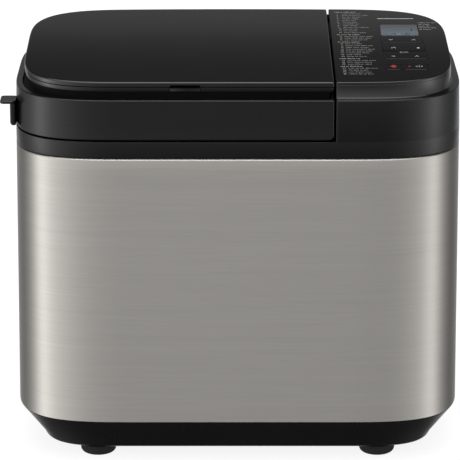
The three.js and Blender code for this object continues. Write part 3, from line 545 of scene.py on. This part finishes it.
def set_camera():
    """Long lens from in front and above, aimed at the middle of the housing's front."""
    distance = 2.767
    elevation = math.radians(16.34)
    side = -6.9 * MM
    height = 219.8 * MM
    camera = bpy.data.cameras.new("camera")
    camera.lens = 248.4
    eye = bpy.data.objects.new("camera", camera)
    aim_x = MIDDLE[0] * MM + side
    aim_y = (MIDDLE[1] - DEPTH / 2) * MM
    back = distance * math.cos(elevation)
    eye.location = (aim_x, aim_y - back, height + distance * math.sin(elevation))
    eye.rotation_euler = (math.pi / 2 - elevation, 0.0, 0.0)
    bpy.context.scene.collection.objects.link(eye)
    bpy.context.scene.camera = eye


def set_floor():
    """A pale back-lit table, level with the feet, so that shadows on it stay faint."""
    half = 12.0
    mesh = bpy.data.meshes.new("floor")
    corners = [(-half, -half, 0), (half, -half, 0), (half, half, 0), (-half, half, 0)]
    mesh.from_pydata(corners, [], [(0, 1, 2, 3)])
    finish = dict(Roughness=0.9, Specular_IOR_Level=0.0, Emission_Strength=0.88)
    finish["Emission_Color"] = (1.0, 1.0, 1.0, 1.0)
    material, tree, surface, place = start_material("pale_studio_floor", **finish)
    cloud = add(tree, "ShaderNodeTexNoise", {"Vector": place, "Scale": per_mm(900.0)})
    colours = {0: cloud, 6: paint("#6e6e6e"), 7: paint("#727272")}
    add(tree, "ShaderNodeMix", colours, out=2, to=surface["Base Color"], data_type="RGBA")
    mesh.materials.append(material)
    floor = bpy.data.objects.new("floor", mesh)
    floor.visible_glossy = False
    bpy.context.scene.collection.objects.link(floor)


def heading(azimuth, elevation):
    """Unit vector from the machine; azimuth 0 is in front of it and 90 on its right."""
    turn_by, lift = math.radians(azimuth), math.radians(elevation)
    across = math.cos(lift)
    return Vector((math.sin(turn_by) * across, -math.cos(turn_by) * across, math.sin(lift)))


def set_studio():
    """Soft glows all round: radiance = ambient + sum of strength * cos(angle to glow) ^ sharpness."""
    world = bpy.data.worlds.new("studio")
    world.use_nodes = True
    tree = world.node_tree
    direction = add(tree, "ShaderNodeTexCoord", out="Generated")
    total = 0.05
    for azimuth, elevation, sharpness, strength in GLOWS:
        both = {0: direction, 1: heading(azimuth, elevation)}
        facing = add(tree, "ShaderNodeVectorMath", both, out="Value", operation="DOT_PRODUCT")
        ahead = add(tree, "ShaderNodeMath", {0: facing, 1: 0.0}, operation="MAXIMUM")
        lobe = add(tree, "ShaderNodeMath", {0: ahead, 1: sharpness}, operation="POWER")
        sum_up = {0: lobe, 1: strength, 2: total}
        total = add(tree, "ShaderNodeMath", sum_up, operation="MULTIPLY_ADD")
    background = tree.nodes["Background"]
    background.inputs["Color"].default_value = (1.0, 1.0, 1.0, 1.0)
    tree.links.new(total, background.inputs["Strength"])
    bpy.context.scene.world = world


# Glows: azimuth, elevation, sharpness, strength.
GLOWS = (
    (-66, -4, 3.2, 1.45),
    (-78, -15, 28.0, 1.5),
    (-118, -18, 7.0, 0.16),
    (70, -6, 4.0, 1.1),
    (76, -15, 28.0, 1.1),
    (118, -18, 7.0, 0.08),
    (0, 40, 3.5, 0.95),
    (0, 66, 8.0, 1.6),
    (180, -30, 12.0, 1.3),
)


def set_lamps():
    """A wide soft overhead light, and a low dim panel behind whose reflection fades along the lid."""
    overhead = bpy.data.lights.new("overhead", "SUN")
    overhead.energy = 2.0
    overhead.angle = math.radians(70)
    sun = bpy.data.objects.new("overhead", overhead)
    panel = bpy.data.lights.new("rear_panel", "AREA")
    panel.shape = "RECTANGLE"
    panel.size = 1.8
    panel.size_y = 0.3
    panel.energy = 0.3
    rear = bpy.data.objects.new("rear_panel", panel)
    rear.location = (0.0, 0.5, 0.37)
    rear.rotation_euler = (-math.pi / 2, 0.0, 0.0)
    rear.visible_camera = False
    for lamp in (sun, rear):
        bpy.context.scene.collection.objects.link(lamp)
    bpy.context.scene.view_settings.view_transform = "Standard"


set_camera()
set_floor()
set_studio()
set_lamps()

# ---- base and feet ----


def base():
    """Tray of the base: the wall leans in under the steel and rolls round a quarter ellipse into a
    flat bottom with air slots. Four posts in it carry the drive plate."""
    bottom = local("base_tray")[0][2]
    floor = bottom + 3
    skirt = STEEL_LOW + 7.7
    lean = 24.0
    angle = np.linspace(0, 1.45, 6)
    roll_in, roll_up = 6.0, 4.5
    rows = [
        (lean + 4, floor),
        (4.4, STEEL_LOW - 3.3),
        (3.4, skirt),
        (0.6, skirt),
        (0.6, STEEL_LOW - 0.3),
        (0.1, STEEL_LOW - 0.3),
        (-0.4, STEEL_LOW - 0.8),
        (0.1, STEEL_LOW - 1.6),
    ]
    rows += zip(lean - 3 + roll_in * (1 - np.cos(angle)), bottom + roll_up * (1 - np.sin(angle)))
    rings = rings_at([*rows, (lean + 5, bottom)])
    pitch, half_width, half_length = 14, 2.5, 30
    slots = []
    for place in range(-3, 4):
        sides = (place * pitch - half_width, place * pitch + half_width, -half_length, half_length)
        slots.append(rounded_rectangle(*sides, 2.4, 3))
    piece = closed_body("base_shell", rings, *SHELL, slots, (floor, bottom))
    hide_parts("base_tray")
    plate = local("drive_plate")[0][2] - 0.3
    middle = (floor + bottom) / 2
    post_left, post_right, post_back = -98, 150, 50
    post = [(0, plate), (4.4, plate), (5, plate - 0.6), (5, floor + 2), (5.6, floor + 0.6)]
    post += [(7, floor - 0.2), (7, middle), (0, middle)]
    places = [(x, y, 0) for x in (post_left, post_right) for y in (-post_back, post_back)]
    turned("base_posts", post, places, *SHELL, 32)


def feet():
    """Rubber feet: a flat tread, a shoulder rounded on a quarter circle, and a stem into the tray."""
    for name in ("foot_front_left", "foot_front_right", "foot_rear_left", "foot_rear_right"):
        low, high = local(name)
        centre = [*centre_of(name)[:2], 0.0]
        radius = (high[0] - low[0]) / 2
        round_off, stem, top = 5, 5, 9.7
        angle = np.linspace(np.pi / 2, 0, 9)
        inner = radius - round_off
        profile = [(0, high[2]), (stem, high[2]), (stem, top), (radius - 0.8, top), (radius, top - 0.7)]
        profile += [(inner + round_off * math.sin(a), round_off * (1 - math.cos(a))) for a in angle]
        profile += [(inner - 0.6, 0), (0, 0)]
        piece = turned(name + "_rubber", profile, [centre], "chassis", "foot_rubber", RUBBER, 48)
        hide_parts(name)


# ---- steel band ----


def steel_band():
    """Sheet wrapped round the housing: slightly wider at the foot, with a lip that rolls inwards
    under the black frame, and an opening for the grille."""
    low, high = local("rear_grille")
    roll = 1.3
    straight_top = STEEL_TOP - roll
    close = np.array([-0.25, 0, 0.25])
    columns = np.concatenate([low[0] + close, high[0] + close])
    edges = np.concatenate([low[2] + close, high[2] + close, [STEEL_LOW + 0.25, STEEL_LOW + 1]])
    levels = np.unique(np.concatenate([np.linspace(STEEL_LOW, straight_top, 25), edges]))
    angle = np.linspace(0, np.pi / 2, 7)[1:]
    rise = (levels - STEEL_LOW) / (straight_top - STEEL_LOW)
    insets = np.concatenate([1.2 * rise - 1.0, 0.2 + roll * (1 - np.cos(angle))])
    heights = np.concatenate([levels, straight_top + roll * np.sin(angle)])
    rings = rings_at(zip(insets[::-1], heights[::-1]), back_stops=columns)
    points = np.concatenate(rings)
    faces = grid_faces(len(rings), len(rings[0]))
    middle = points[np.array(faces)].mean(axis=1)
    inside = np.all((middle > low) & (middle < high), axis=1, where=[True, False, True])
    keep = ~(inside & (middle[:, 1] > DEPTH / 2 - 5))
    faces = [face for face, stays in zip(faces, keep) if stays]
    piece = to_object("steel_band", points, faces, "chassis", STEEL)
    wall = piece.modifiers.new("sheet", "SOLIDIFY")
    wall.thickness = 0.9 * MM
    wall.offset = -1.0
    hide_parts("steel_wrap")


# ---- black frame, deck and panel block ----


def frame_band():
    """Hoop of the frame above the steel, its top edge rounded under the lid and square under the
    panel block."""

    def under_lid(drop):
        return lambda x, y: np.where(x < PANEL_LEFT, BAND_TOP - drop, BAND_TOP)

    rings = rings_at([
        (6.6, under_lid(0.0)),
        (1.0, under_lid(0.0)),
        (0.5, under_lid(0.0)),
        (0.28, under_lid(0.08)),
        (0.2, under_lid(0.3)),
        (0.2, under_lid(0.8)),
        (0.2, BAND_LOW + 1.6),
        (0.35, BAND_LOW + 1.0),
        (0.75, BAND_LOW + 0.3),
        (1.3, BAND_LOW),
        (3.0, BAND_LOW),
        (3.0, 291.8),
        (6.0, 291.8),
        (6.0, BAND_TOP - 0.6),
    ])
    piece = closed_band("frame_band", rings, *SHELL)
    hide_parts("top_frame")


def deck():
    """Flat deck round the chamber's mouth."""
    half_x, half_y = 91.5, 99.5
    mouth = rounded_rectangle(CHAMBER_X - half_x, CHAMBER_X + half_x, -half_y, half_y, 30, 10)
    top, bottom = 295.0, 292.0
    rings = rings_at([(6.2, top), (6.0, top - 0.5), (6.0, bottom)])
    closed_body("deck", rings, *SHELL, [mouth], (top, bottom))


# Columns of the panel's rings that face the lid across the seam, which carry painted shade.
SEAM_SIDE = (3, 15)


def panel_block():
    """Block under the control panel: wall, ledge, and the raised wall that carries the sloping panel.
    A dark rib in the seam beside the lid keeps light out at the back, as painted shade, and the side facing
    the seam is painted darker with the low-sheen black."""
    ledge = [(inset, LEDGE - drop) for inset, drop in round_over(1.0, 0.8)][::-1]
    seat, inside, floor = 2.6, TOP_INSET + 3, 296.5
    rings = rings_at([(0.2, BAND_TOP), *ledge], side="panel")
    rows = [
        (TOP_INSET - 1.2, LEDGE),
        (TOP_INSET - 0.5, LEDGE + 0.2),
        (TOP_INSET, LEDGE + 0.8),
        (TOP_INSET, under(seat + 0.12)),
        (TOP_INSET + 0.12, under(seat)),
        (inside, under(seat), 3),
        (inside, floor + 3.5, 3),
        (inside, floor, 3),
    ]
    rings += rings_at(rows, side="panel", plan=TOP_PLAN)
    rings.append(ring(0.9, floor, 0.3, side="panel"))
    piece = closed_band("panel_block", rings[::-1], *SHELL)
    repaint(piece, len(rings[0]), (3, len(rings) - 2 - len(ledge)), POLISHED)
    # Painted shade: the side facing the seam takes the low-sheen black.
    repaint(piece, len(rings[0]), (0, len(rings)), PAINTED_SHADE_MATT, SEAM_SIDE)
    # A dark rib put in the seam as painted shade.
    rib_front, rib_back, rib_foot = 106, 116, 62.0
    corner = 0.15 * (PANEL_LEFT - LID_RIGHT)
    plan = rounded_rectangle(LID_RIGHT + 0.35, PANEL_LEFT + 1, rib_front, rib_back, corner, 2)
    centre = plan.mean(axis=0)
    rib = []
    for scale, depth in ((0.94, 4.0), (1.0, 4.3), (1.0, rib_foot)):
        loop = centre + (plan - centre) * scale
        rib.append(lift(loop, under(depth)))
    closed_body("seam_shade_rib", rib, "chassis", "black_shell", PAINTED_SHADE_MATT)


# ---- control panel ----

KEYS = ("menu_key", "size_key", "timer_key", "stop_key", "start_key")


def opening(node, gap):
    """Round-cornered opening that clears a node by gap."""
    low, high = local(node)
    return rounded_rectangle(low[0] - gap, high[0] + gap, low[1] - gap, high[1] + gap, 1.5 + gap, 4)


def panel_cover():
    """Thin glossy panel with openings for the display and the keys."""
    thickness = 2.5
    edge = round_over(TOP_INSET, 0.7)
    rows = [(inset, under(drop), inset - TOP_INSET) for inset, drop in edge]
    rows += [
        (TOP_INSET, under(thickness - 0.12)),
        (TOP_INSET + 0.12, under(thickness), 0.12),
        (TOP_INSET + 2.0, under(thickness), 2.0),
    ]
    rings = rings_at(rows, side="panel", plan=TOP_PLAN)
    holes = [opening(key, 0.4) for key in KEYS] + [opening("display_window", 0.25)]
    heights = (under(0.0), under(thickness))
    piece = closed_body("panel_face", rings, "chassis", "gloss_panel", GLOSS, holes, heights)
    repaint(piece, len(rings[0]), (2, len(rings) - 1), POLISHED)
    # Painted shade: the side facing the seam takes the low-sheen black.
    repaint(piece, len(rings[0]), (2, len(rings) - 1), PAINTED_SHADE_MATT, SEAM_SIDE)
    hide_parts("panel_cover")


# ---- lid ----


VENT_LOW, VENT_HIGH = 312.0, 326.0
VENT_CENTRES = -57.0 + 9.0 * np.arange(-2, 3)
VENTS = [(x - 2.5, x + 2.5) for x in VENT_CENTRES]
HINGE_PLACE = (121.0, 303.0)


def lid_shell():
    """Lid: outer wall with vents at the back, level rim with a finger scoop (a half ellipse each way),
    a neck under the sloping dispenser lid, and openings for the tray and the yeast cup."""
    corner = 5.0
    low_corner = LID_RIGHT - corner + corner * np.sin(np.linspace(0, 1.3, 8))
    stops = np.concatenate([np.linspace(-70, -16, 28), low_corner])
    bracket_low, bracket_high = local("hinge_bracket_right")
    notch = (bracket_low[0] - 0.4, bracket_high[0] + 0.4)
    notch_stops = [notch[0] - HAIR, notch[0], notch[1], notch[1] + HAIR]
    back_stops = np.concatenate([np.ravel(VENTS), notch_stops])
    kind = dict(side="lid", stops=stops, back_stops=back_stops)
    catch_x = centre_of("lid_catch")[0]

    def scooped(z):
        def height(x, y):
            across = np.clip(1 - ((x - catch_x) / 19) ** 2, 0, 1)
            along = np.clip(1 - ((y + DEPTH / 2 - 8) / 5) ** 2, 0, 1)
            return z - 1.8 * np.sqrt(across * along)
        return height

    def lifted(z):
        def height(x, y):
            reach = np.clip(x - (LID_RIGHT - corner), 0, corner - 0.01)
            rise = corner - np.sqrt(corner**2 - reach**2)
            in_notch = (x > notch[0] - HAIR / 2) & (x < notch[1] + HAIR / 2)
            over_hinge = HINGE_PLACE[1] + 5.9 - LID_LOW
            return z + np.where(y < 0, rise, np.where(in_notch, over_hinge, 0))
        return height

    rim = [(inset, LEDGE - drop) for inset, drop in round_over(1.0, 0.8)]
    lean = (1.0 - 0.35) / (rim[-1][1] - LID_LOW)
    foot = TOP_INSET + 6
    neck_rows = [
        (foot + 2.5, LEDGE, 5.5),
        (foot + 2.5, under(9.4), 5.5),
        (foot + 2.0, under(9.3), 5.2),
        (foot + 0.5, under(9.3), 3.3),
        (foot, under(9.8), 3),
        (foot, GROOVE + 0.4, 3),
        (foot - 0.4, GROOVE, 2.6),
    ]
    rows = [
        (7.4, GROOVE, 1.8),
        (6.9, GROOVE + 0.5, 1.6),
        (6.9, scooped(LEDGE - 0.3), 1.5),
        (6.5, scooped(LEDGE), 1.3),
        (4.6, scooped(LEDGE), 1.2),
    ]
    rows += [(inset, z, min(inset - 1.0, 1.2)) for inset, z in rim]
    outer = len(neck_rows) + len(rows)
    rows += [
        (0.35 + lean * (VENT_HIGH - LID_LOW), VENT_HIGH),
        (0.35 + lean * (VENT_LOW - LID_LOW), VENT_LOW),
        (0.35, lifted(LID_LOW + 1.4)),
        (0.3, lifted(LID_LOW + 0.7)),
        (0.5, lifted(LID_LOW + 0.2), 0.2),
        (1.0, lifted(LID_LOW), 0.7),
        (3.5, lifted(LID_LOW), 3),
    ]
    inner = len(neck_rows) + len(rows)
    rows += [(3.5, z, 3) for z in (VENT_LOW, VENT_HIGH, LEDGE - 3)]
    rings = rings_at(neck_rows, plan=NECK_PLAN, **kind) + rings_at(rows, plan=LID_PLAN, **kind)

    def column_at(x):
        behind = rings[0][:, 1] > 0
        return int(np.flatnonzero((np.abs(rings[0][:, 0] - x) < 1e-6) & behind)[0])

    spans = [(column_at(right), column_at(left)) for left, right in VENTS]
    tray_low, tray_high = local("nut_tray")
    rim_width = 3.6
    sides = (tray_low[0] + rim_width, tray_high[0] - rim_width)
    sides += (tray_low[1] + rim_width, tray_high[1] - rim_width)
    tray = rounded_rectangle(*sides, 1.0, 3)
    cup_radius, cup_bore, steps = 17.0, 14.4, 47
    cup_y = local("yeast_cup")[0][1] + cup_radius
    last = 360 - 360 / (steps + 1)
    cup = np.stack(turn(centre_of("yeast_cup")[0], cup_y, cup_bore, 0, last, steps), axis=1)
    heights = (LEDGE, LEDGE - 3)
    piece = closed_body("lid_shell", rings, *LID_PART, [tray, cup], heights, (outer, inner, spans))
    # Painted shade: the neck and the top of the groove under the dispenser lid take the low-sheen black.
    repaint(piece, len(rings[0]), (1, len(neck_rows) + 2), PAINTED_SHADE_MATT)
    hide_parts("lid_frame")


def hinge_eyes(name, spans, centre, radius, bore, leg, body):
    """Hinge eyes along X, round about the pin, or with straight sides on one side that run on by leg,
    upwards if it is positive. The bore has a point in the direction of each outer point."""
    y, z = centre
    angle = np.linspace(0, np.pi, 17)
    arc = radius * np.stack([np.cos(angle), np.sin(angle)], axis=1)
    leg_end = [(share * radius, -abs(leg)) for share in (-1, -0.5, 0, 0.5, 1)]
    outer = np.concatenate([arc, leg_end if leg else -arc[1:-1]])
    if leg > 0:
        outer = -outer
    inner = bore * outer / np.linalg.norm(outer, axis=1, keepdims=True)
    edge = 0.35
    shrunk = outer * (1 - edge / radius)
    points, faces = [], []
    for x0, x1 in spans:
        loops = [(inner, x0), (shrunk, x0), (outer, x0 + edge)]
        loops += [(outer, x1 - edge), (shrunk, x1), (inner, x1)]
        start = sum(len(p) for p in points)
        for plan, x in loops:
            points.append(np.column_stack([np.full(len(plan), x), y + plan[:, 0], z + plan[:, 1]]))
        quads = grid_faces(len(loops), len(outer), close_rows=True, start=start)
        faces += [quad[::-1] for quad in quads]
    return to_object(name, np.concatenate(points), faces, body, SATIN)


def hinge_pieces():
    """Lugs on the lid's back wall, and the eyes and knuckles of the dispenser lid's hinge."""
    gap, lug = 0.4, 12.0
    left = local("hinge_bracket_left")[1][0] + gap
    right = local("hinge_bracket_right")[0][0] - gap
    lugs = [(left, left + lug), (right - lug, right)]
    hinge_eyes("lid_hinge_lugs", lugs, HINGE_PLACE, 3.8, 2.1, 0, "lid")
    pin_low, pin_high = local("dispenser_pin")
    centre = centre_of("dispenser_pin")[1:]
    overhang, eye = 0.7, 8.0
    left, right = pin_low[0] - overhang, pin_high[0] + overhang
    eyes = [(left, left + eye), (right - eye, right)]
    left, right = left + eye + gap, right - eye - gap
    knuckles = [(left, left + eye), (right - eye, right)]
    stand = LEDGE - 2.2 - centre[1]
    hinge_eyes("dispenser_eyes", eyes, centre, 3.0, 1.5, stand, "lid")
    hinge_eyes("carrier_knuckles", knuckles, centre, 3.0, 1.5, 5.5, "dispenser_lid")


def dispenser_lid():
    """A glossy plate over a carrier, with a fine joint between them and a slot over the catch."""
    left, right = (corner[0] for corner in local("lid_catch"))
    kind = dict(side="lid", plan=TOP_PLAN, stops=[left - HAIR, left, right, right + HAIR])

    def slotted(depth, lifted):
        def height(x, y):
            in_slot = (x > left - HAIR / 2) & (x < right + HAIR / 2) & (y < 0)
            return top_plane(y) - np.where(in_slot, lifted, depth)
        return height

    rows = [(inset, under(drop), inset - TOP_INSET) for inset, drop in round_over(TOP_INSET, 1.2)]
    rows += [
        (TOP_INSET, slotted(4.0, 2.7)),
        (TOP_INSET + 0.3, slotted(4.3, 2.8), 0.3),
        (TOP_INSET + 9.0, slotted(4.3, 2.8), 0.6),
        (TOP_INSET + 9.2, under(4.3), 0.7),
    ]
    rings = rings_at(rows, **kind)
    piece = closed_body("lid_plate", rings, "dispenser_lid", "gloss_panel", GLOSS)
    repaint(piece, len(rings[0]), (2, len(rings) - 1), POLISHED)
    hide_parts("dispenser_plate")

    start, end, notch_depth = left - 0.4, right + 0.4, 15.0
    layer = dict(kind, stops=[start - HAIR, start, end, end + HAIR])

    def notched(inset, depth, clip):
        points = ring(inset, under(depth), clip, **layer)
        in_notch = (points[:, 0] > start - HAIR / 2) & (points[:, 0] < end + HAIR / 2)
        points[:, 1] = np.where(in_notch & (points[:, 1] < 0), FRONT_EDGE + notch_depth, points[:, 1])
        return points

    near = TOP_INSET + 0.4
    layers = ((0.4, 4.6), (0.0, 4.9), (0.0, 8.0), (0.2, 8.5), (0.7, 8.7))
    rings = [notched(near + inset, depth, 0.4 + inset) for inset, depth in layers]
    piece = closed_body("lid_carrier", rings, "dispenser_lid", "black_shell", POLISHED)
    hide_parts("dispenser_carrier")


def grip_tab():
    """Finger grip on the lid's left wall: a flat flange with soft edges over a stem whose lower outer
    edge is a quarter circle. Both run into the wall."""
    low, high = local("lid_grip")
    flange_low = high[2] - 2.7
    wall = 1.0 - WIDTH / 2

    def slab(inset, z):
        plan = rounded_rectangle(low[0] + inset, wall + 1, low[1] + inset, high[1] - inset, 3.5 - inset)
        return lift(plan, z)

    edge = round_over(0.0, 0.9, 4, 0.5)
    rings = [slab(inset, high[2] - drop) for inset, drop in edge]
    rings += [slab(inset, flange_low + drop) for inset, drop in edge[::-1]]
    piece = closed_body("grip_flange", rings, *LID_PART)
    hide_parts("lid_grip")
    stem_left, soft, side = -WIDTH / 2 - 2.9, 3.0, 0.3

    def post(z):
        drop = max(0.0, soft - (z - low[2]))
        inset = soft - math.sqrt(max(soft**2 - drop**2, 0.0))
        plan = rounded_rectangle(stem_left, wall + 1, low[1] + side, high[1] - side, 1.5)
        plan[:, 0] = np.maximum(plan[:, 0], stem_left + inset)
        return lift(plan, z)

    straight = [flange_low + 0.5, low[2] + 15, low[2] + 8, low[2] + 4]
    rounded = low[2] + soft - soft * np.sin(np.linspace(0, np.pi / 2, 8))
    rings = [post(z) for z in [*straight, *rounded]]
    closed_body("grip_stem", rings, *LID_PART)


# ---- printed marks and display segments ----


def on_slope(x, up, depth):
    """Places a point given by x, the distance up the panel from its front edge, and a depth."""
    y = FRONT_EDGE + up * math.cos(SLOPE) + depth * math.sin(SLOPE)
    z = TOP_FRONT + up * math.sin(SLOPE) - depth * math.cos(SLOPE)
    return np.stack([x, y, z], axis=-1)


def strokes(name, lines, width, rise, body, material):
    """Thin raised bars along lines of (x0, up0, x1, up1) on the sloping panel: boxes whose sides stand
    width / 2 off the line and whose tops stand at rise above the top plane."""
    ends = np.array(lines, float).reshape(-1, 2, 2)
    along = ends[:, 1] - ends[:, 0]
    along = along / np.linalg.norm(along, axis=1, keepdims=True)
    beside = np.stack([-along[:, 1], along[:, 0]], axis=1) * width / 2
    first, last = ends[:, 0], ends[:, 1]
    plan = np.stack([first - beside, last - beside, last + beside, first + beside], axis=1)
    layers = [on_slope(plan[..., 0], plan[..., 1], -height) for height in (rise - 0.1, rise)]
    points = np.concatenate(layers, axis=1).reshape(-1, 3)
    box = np.array([[3, 2, 1, 0], [4, 5, 6, 7], [0, 1, 5, 4], [1, 2, 6, 5], [2, 3, 7, 6], [3, 0, 4, 7]])
    faces = (np.arange(len(plan))[:, None, None] * 8 + box).reshape(-1, 4).tolist()
    return to_object(name, points, faces, body, material)


# Ends of a digit's seven segments, in widths and half heights, and the segments each digit lights.
SEGMENT_LINES = dict(a=(0, 2, 1, 2), b=(1, 2, 1, 1), c=(1, 1, 1, 0), d=(0, 0, 1, 0))
SEGMENT_LINES.update(e=(0, 0, 0, 1), f=(0, 1, 0, 2), g=(0, 1, 1, 1))
DIGITS = ("abcdef", "bc", "abged", "abgcd", "fgbc", "afgcd", "afgedc", "abc", "abcdefg", "abcfgd")


def number(value, x, up, width, height):
    """Segment lines of a whole number whose first digit stands at x and up."""
    lines = []
    half = height / 2
    for place, digit in enumerate(str(value)):
        left = x + place * width * 1.6
        for segment in DIGITS[int(digit)]:
            x0, u0, x1, u1 = SEGMENT_LINES[segment]
            lines.append((left + x0 * width, up + u0 * half, left + x1 * width, up + u1 * half))
    return lines


def words(random, x, up, length, height):
    """Short upright ticks in word-like runs, as a stand-in for a line of small print."""
    lines = []
    end = x + length
    while x < end:
        for _ in range(random.integers(3, 9)):
            tall = height * (1.0 if random.random() < 0.2 else 0.72)
            lines.append((x, up, x, up + tall))
            if random.random() < 0.5:
                lines.append((x, up + 0.12, x + 0.75, up + 0.12))
            x += 0.95
        x += 0.8
    return lines


def panel_print():
    """Numbered list on the left, a short list beside the display, labels and a plain rule."""
    random = np.random.default_rng(7)
    list_left, list_top, pitch, tall = 90.5, 225.0, 5.8, 2.4
    heads, rows, labels = [], [], []
    up, count = list_top, 1
    for group in (12, 3, 8, 3, 4):
        heads += words(random, list_left, up, 16, tall)
        for _ in range(group):
            up -= pitch
            rows += number(count, list_left + 1.5, up, 0.9, tall)
            rows += words(random, list_left + 6.5, up, random.uniform(12, 25), tall)
            count += 1
        up -= pitch * 1.15
    labels_left, labels_top, labels_pitch = 166.0, 189.0, 5.6
    for row, length in enumerate((15, 9, 12, 13, 9)):
        labels += words(random, labels_left, labels_top - row * labels_pitch, length, 1.8)
    left, right, low, high = 144.5, 151.5, 91.6, 94.0
    display_up = 151.5
    labels += words(random, left, display_up, 4.5, 2.2)
    box = [(left, z, right, z) for z in (low, high)] + [(x, low, x, high) for x in (left, right)]
    rule_up = 203.5
    rule = [(129.0, rule_up, 162.0, rule_up)]
    prints = (
        ("panel_list", rows, 0.4, DIM_INK),
        ("panel_heads", heads, 0.42, GREY_INK),
        ("panel_labels", labels, 0.4, GREY_INK),
        ("panel_rule", rule, 1.3, PALE_INK),
        ("clock_label", box, 0.4, GREY_INK),
    )
    for name, lines, width, ink in prints:
        strokes(name, lines, width, 0.04, "chassis", ink)


def chevron(x, up, rise):
    """Two strokes that meet in a point above (rise > 0) or below (rise < 0)."""
    return [(x - 1.5, up, x, up + rise), (x, up + rise, x + 1.5, up)]


def key_marks():
    """Arrows, loaf and crust signs, and the stop and start signs, each on its own key."""

    def down_and_up(up):
        return chevron(138.0, up + 1.2, -2.4) + chevron(158.8, up - 1.0, 2.4)

    x, up = 139.2, 106.2
    loaf = chevron(x, up, 1.6) + [(x + side, up, x + side, up - 2.0) for side in (-1.5, 1.5)]
    crust = [(160.3, 105.4, 162.6, 105.4)]
    x, up = 136.6, 47.3
    stop = chevron(x, up + 1, 2.6) + chevron(x, up - 1, -2.6) + [(x - 3, up, x + 3, up)]
    x = 159.0
    start = [(x, up - 2.3, x, up + 2.3)]
    for side in (-1, 1):
        start += [(x + side * 3.0, up, x + side * 1.5, up + rise) for rise in (-1.6, 1.6)]
    light = [(149.7, up, 151.3, up)]
    signs = (
        ("menu_marks", down_and_up(131.5), 0.6, "menu", PALE_INK),
        ("timer_marks", down_and_up(79.0), 0.6, "timer", PALE_INK),
        ("size_marks", loaf, 0.6, "size", PALE_INK),
        ("crust_mark", crust, 2.6, "size", PALE_INK),
        ("stop_marks", stop, 1.1, "stop", RED_INK),
        ("start_marks", start, 0.55, "start", PALE_INK),
        ("start_light", light, 1.8, "start", RED_INK),
    )
    for name, lines, width, body, ink in signs:
        strokes(name, lines, width, 0.44, body, ink)


def display_segments():
    """Dark segments of the display: a programme number and a time."""
    programme = number(1, 155.5, 162.0, 3.0, 9.0)
    time = number(4, 141.0, 150.5, 2.2, 4.6) + number(10, 150.0, 150.5, 2.2, 4.6)
    for name, lines, width in (("display_number", programme, 0.9), ("display_time", time, 0.6)):
        strokes(name, lines, width, -0.06, "chassis", SEGMENT)


# ---- the pieces of the frame that keep their own shape ----

SOFT_EDGE_MM = {
    **dict.fromkeys(KEYS, 0.25),
    "lid_catch": 0.4,
    "rear_grille": 0.3,
    "cord_inlet": 0.4,
    "nut_tray": 0.3,
    "yeast_cup": 0.3,
    "flap_solenoid": 0.6,
    "kneader_blade": 0.5,
}


def dress(node, material, edge_mm):
    """Joins a node's loose triangles when drawn, softens its edges and smooths its curves."""
    node.data.materials.clear()
    node.data.materials.append(material)
    node.data.shade_smooth()
    weld = node.modifiers.new("weld", "WELD")
    weld.merge_threshold = 0.002 * MM
    if edge_mm:
        bevel = node.modifiers.new("soft_edges", "BEVEL")
        bevel.width = edge_mm * MM
        bevel.segments = 1 if edge_mm < 0.3 else 2
        bevel.limit_method = "ANGLE"
        bevel.angle_limit = SHARP_ANGLE
    split = node.modifiers.new("creases", "EDGE_SPLIT")
    split.split_angle = math.radians(36)


def dress_frame():
    """Gives every node of the frame its material, and its soft edge if it has one."""
    slots = {part["node"]: part["material_slot"] for part in frame["record"]["subparts"]}
    for name, node in frame["nodes"].items():
        material = POLISHED if name == "lid_catch" else SLOT_MATERIAL[slots[name]]
        dress(node, material, SOFT_EDGE_MM.get(name, 0.0))


base()
feet()
steel_band()
frame_band()
deck()
panel_block()
panel_cover()
panel_print()
key_marks()
display_segments()
lid_shell()
hinge_pieces()
dispenser_lid()
grip_tab()
dress_frame()
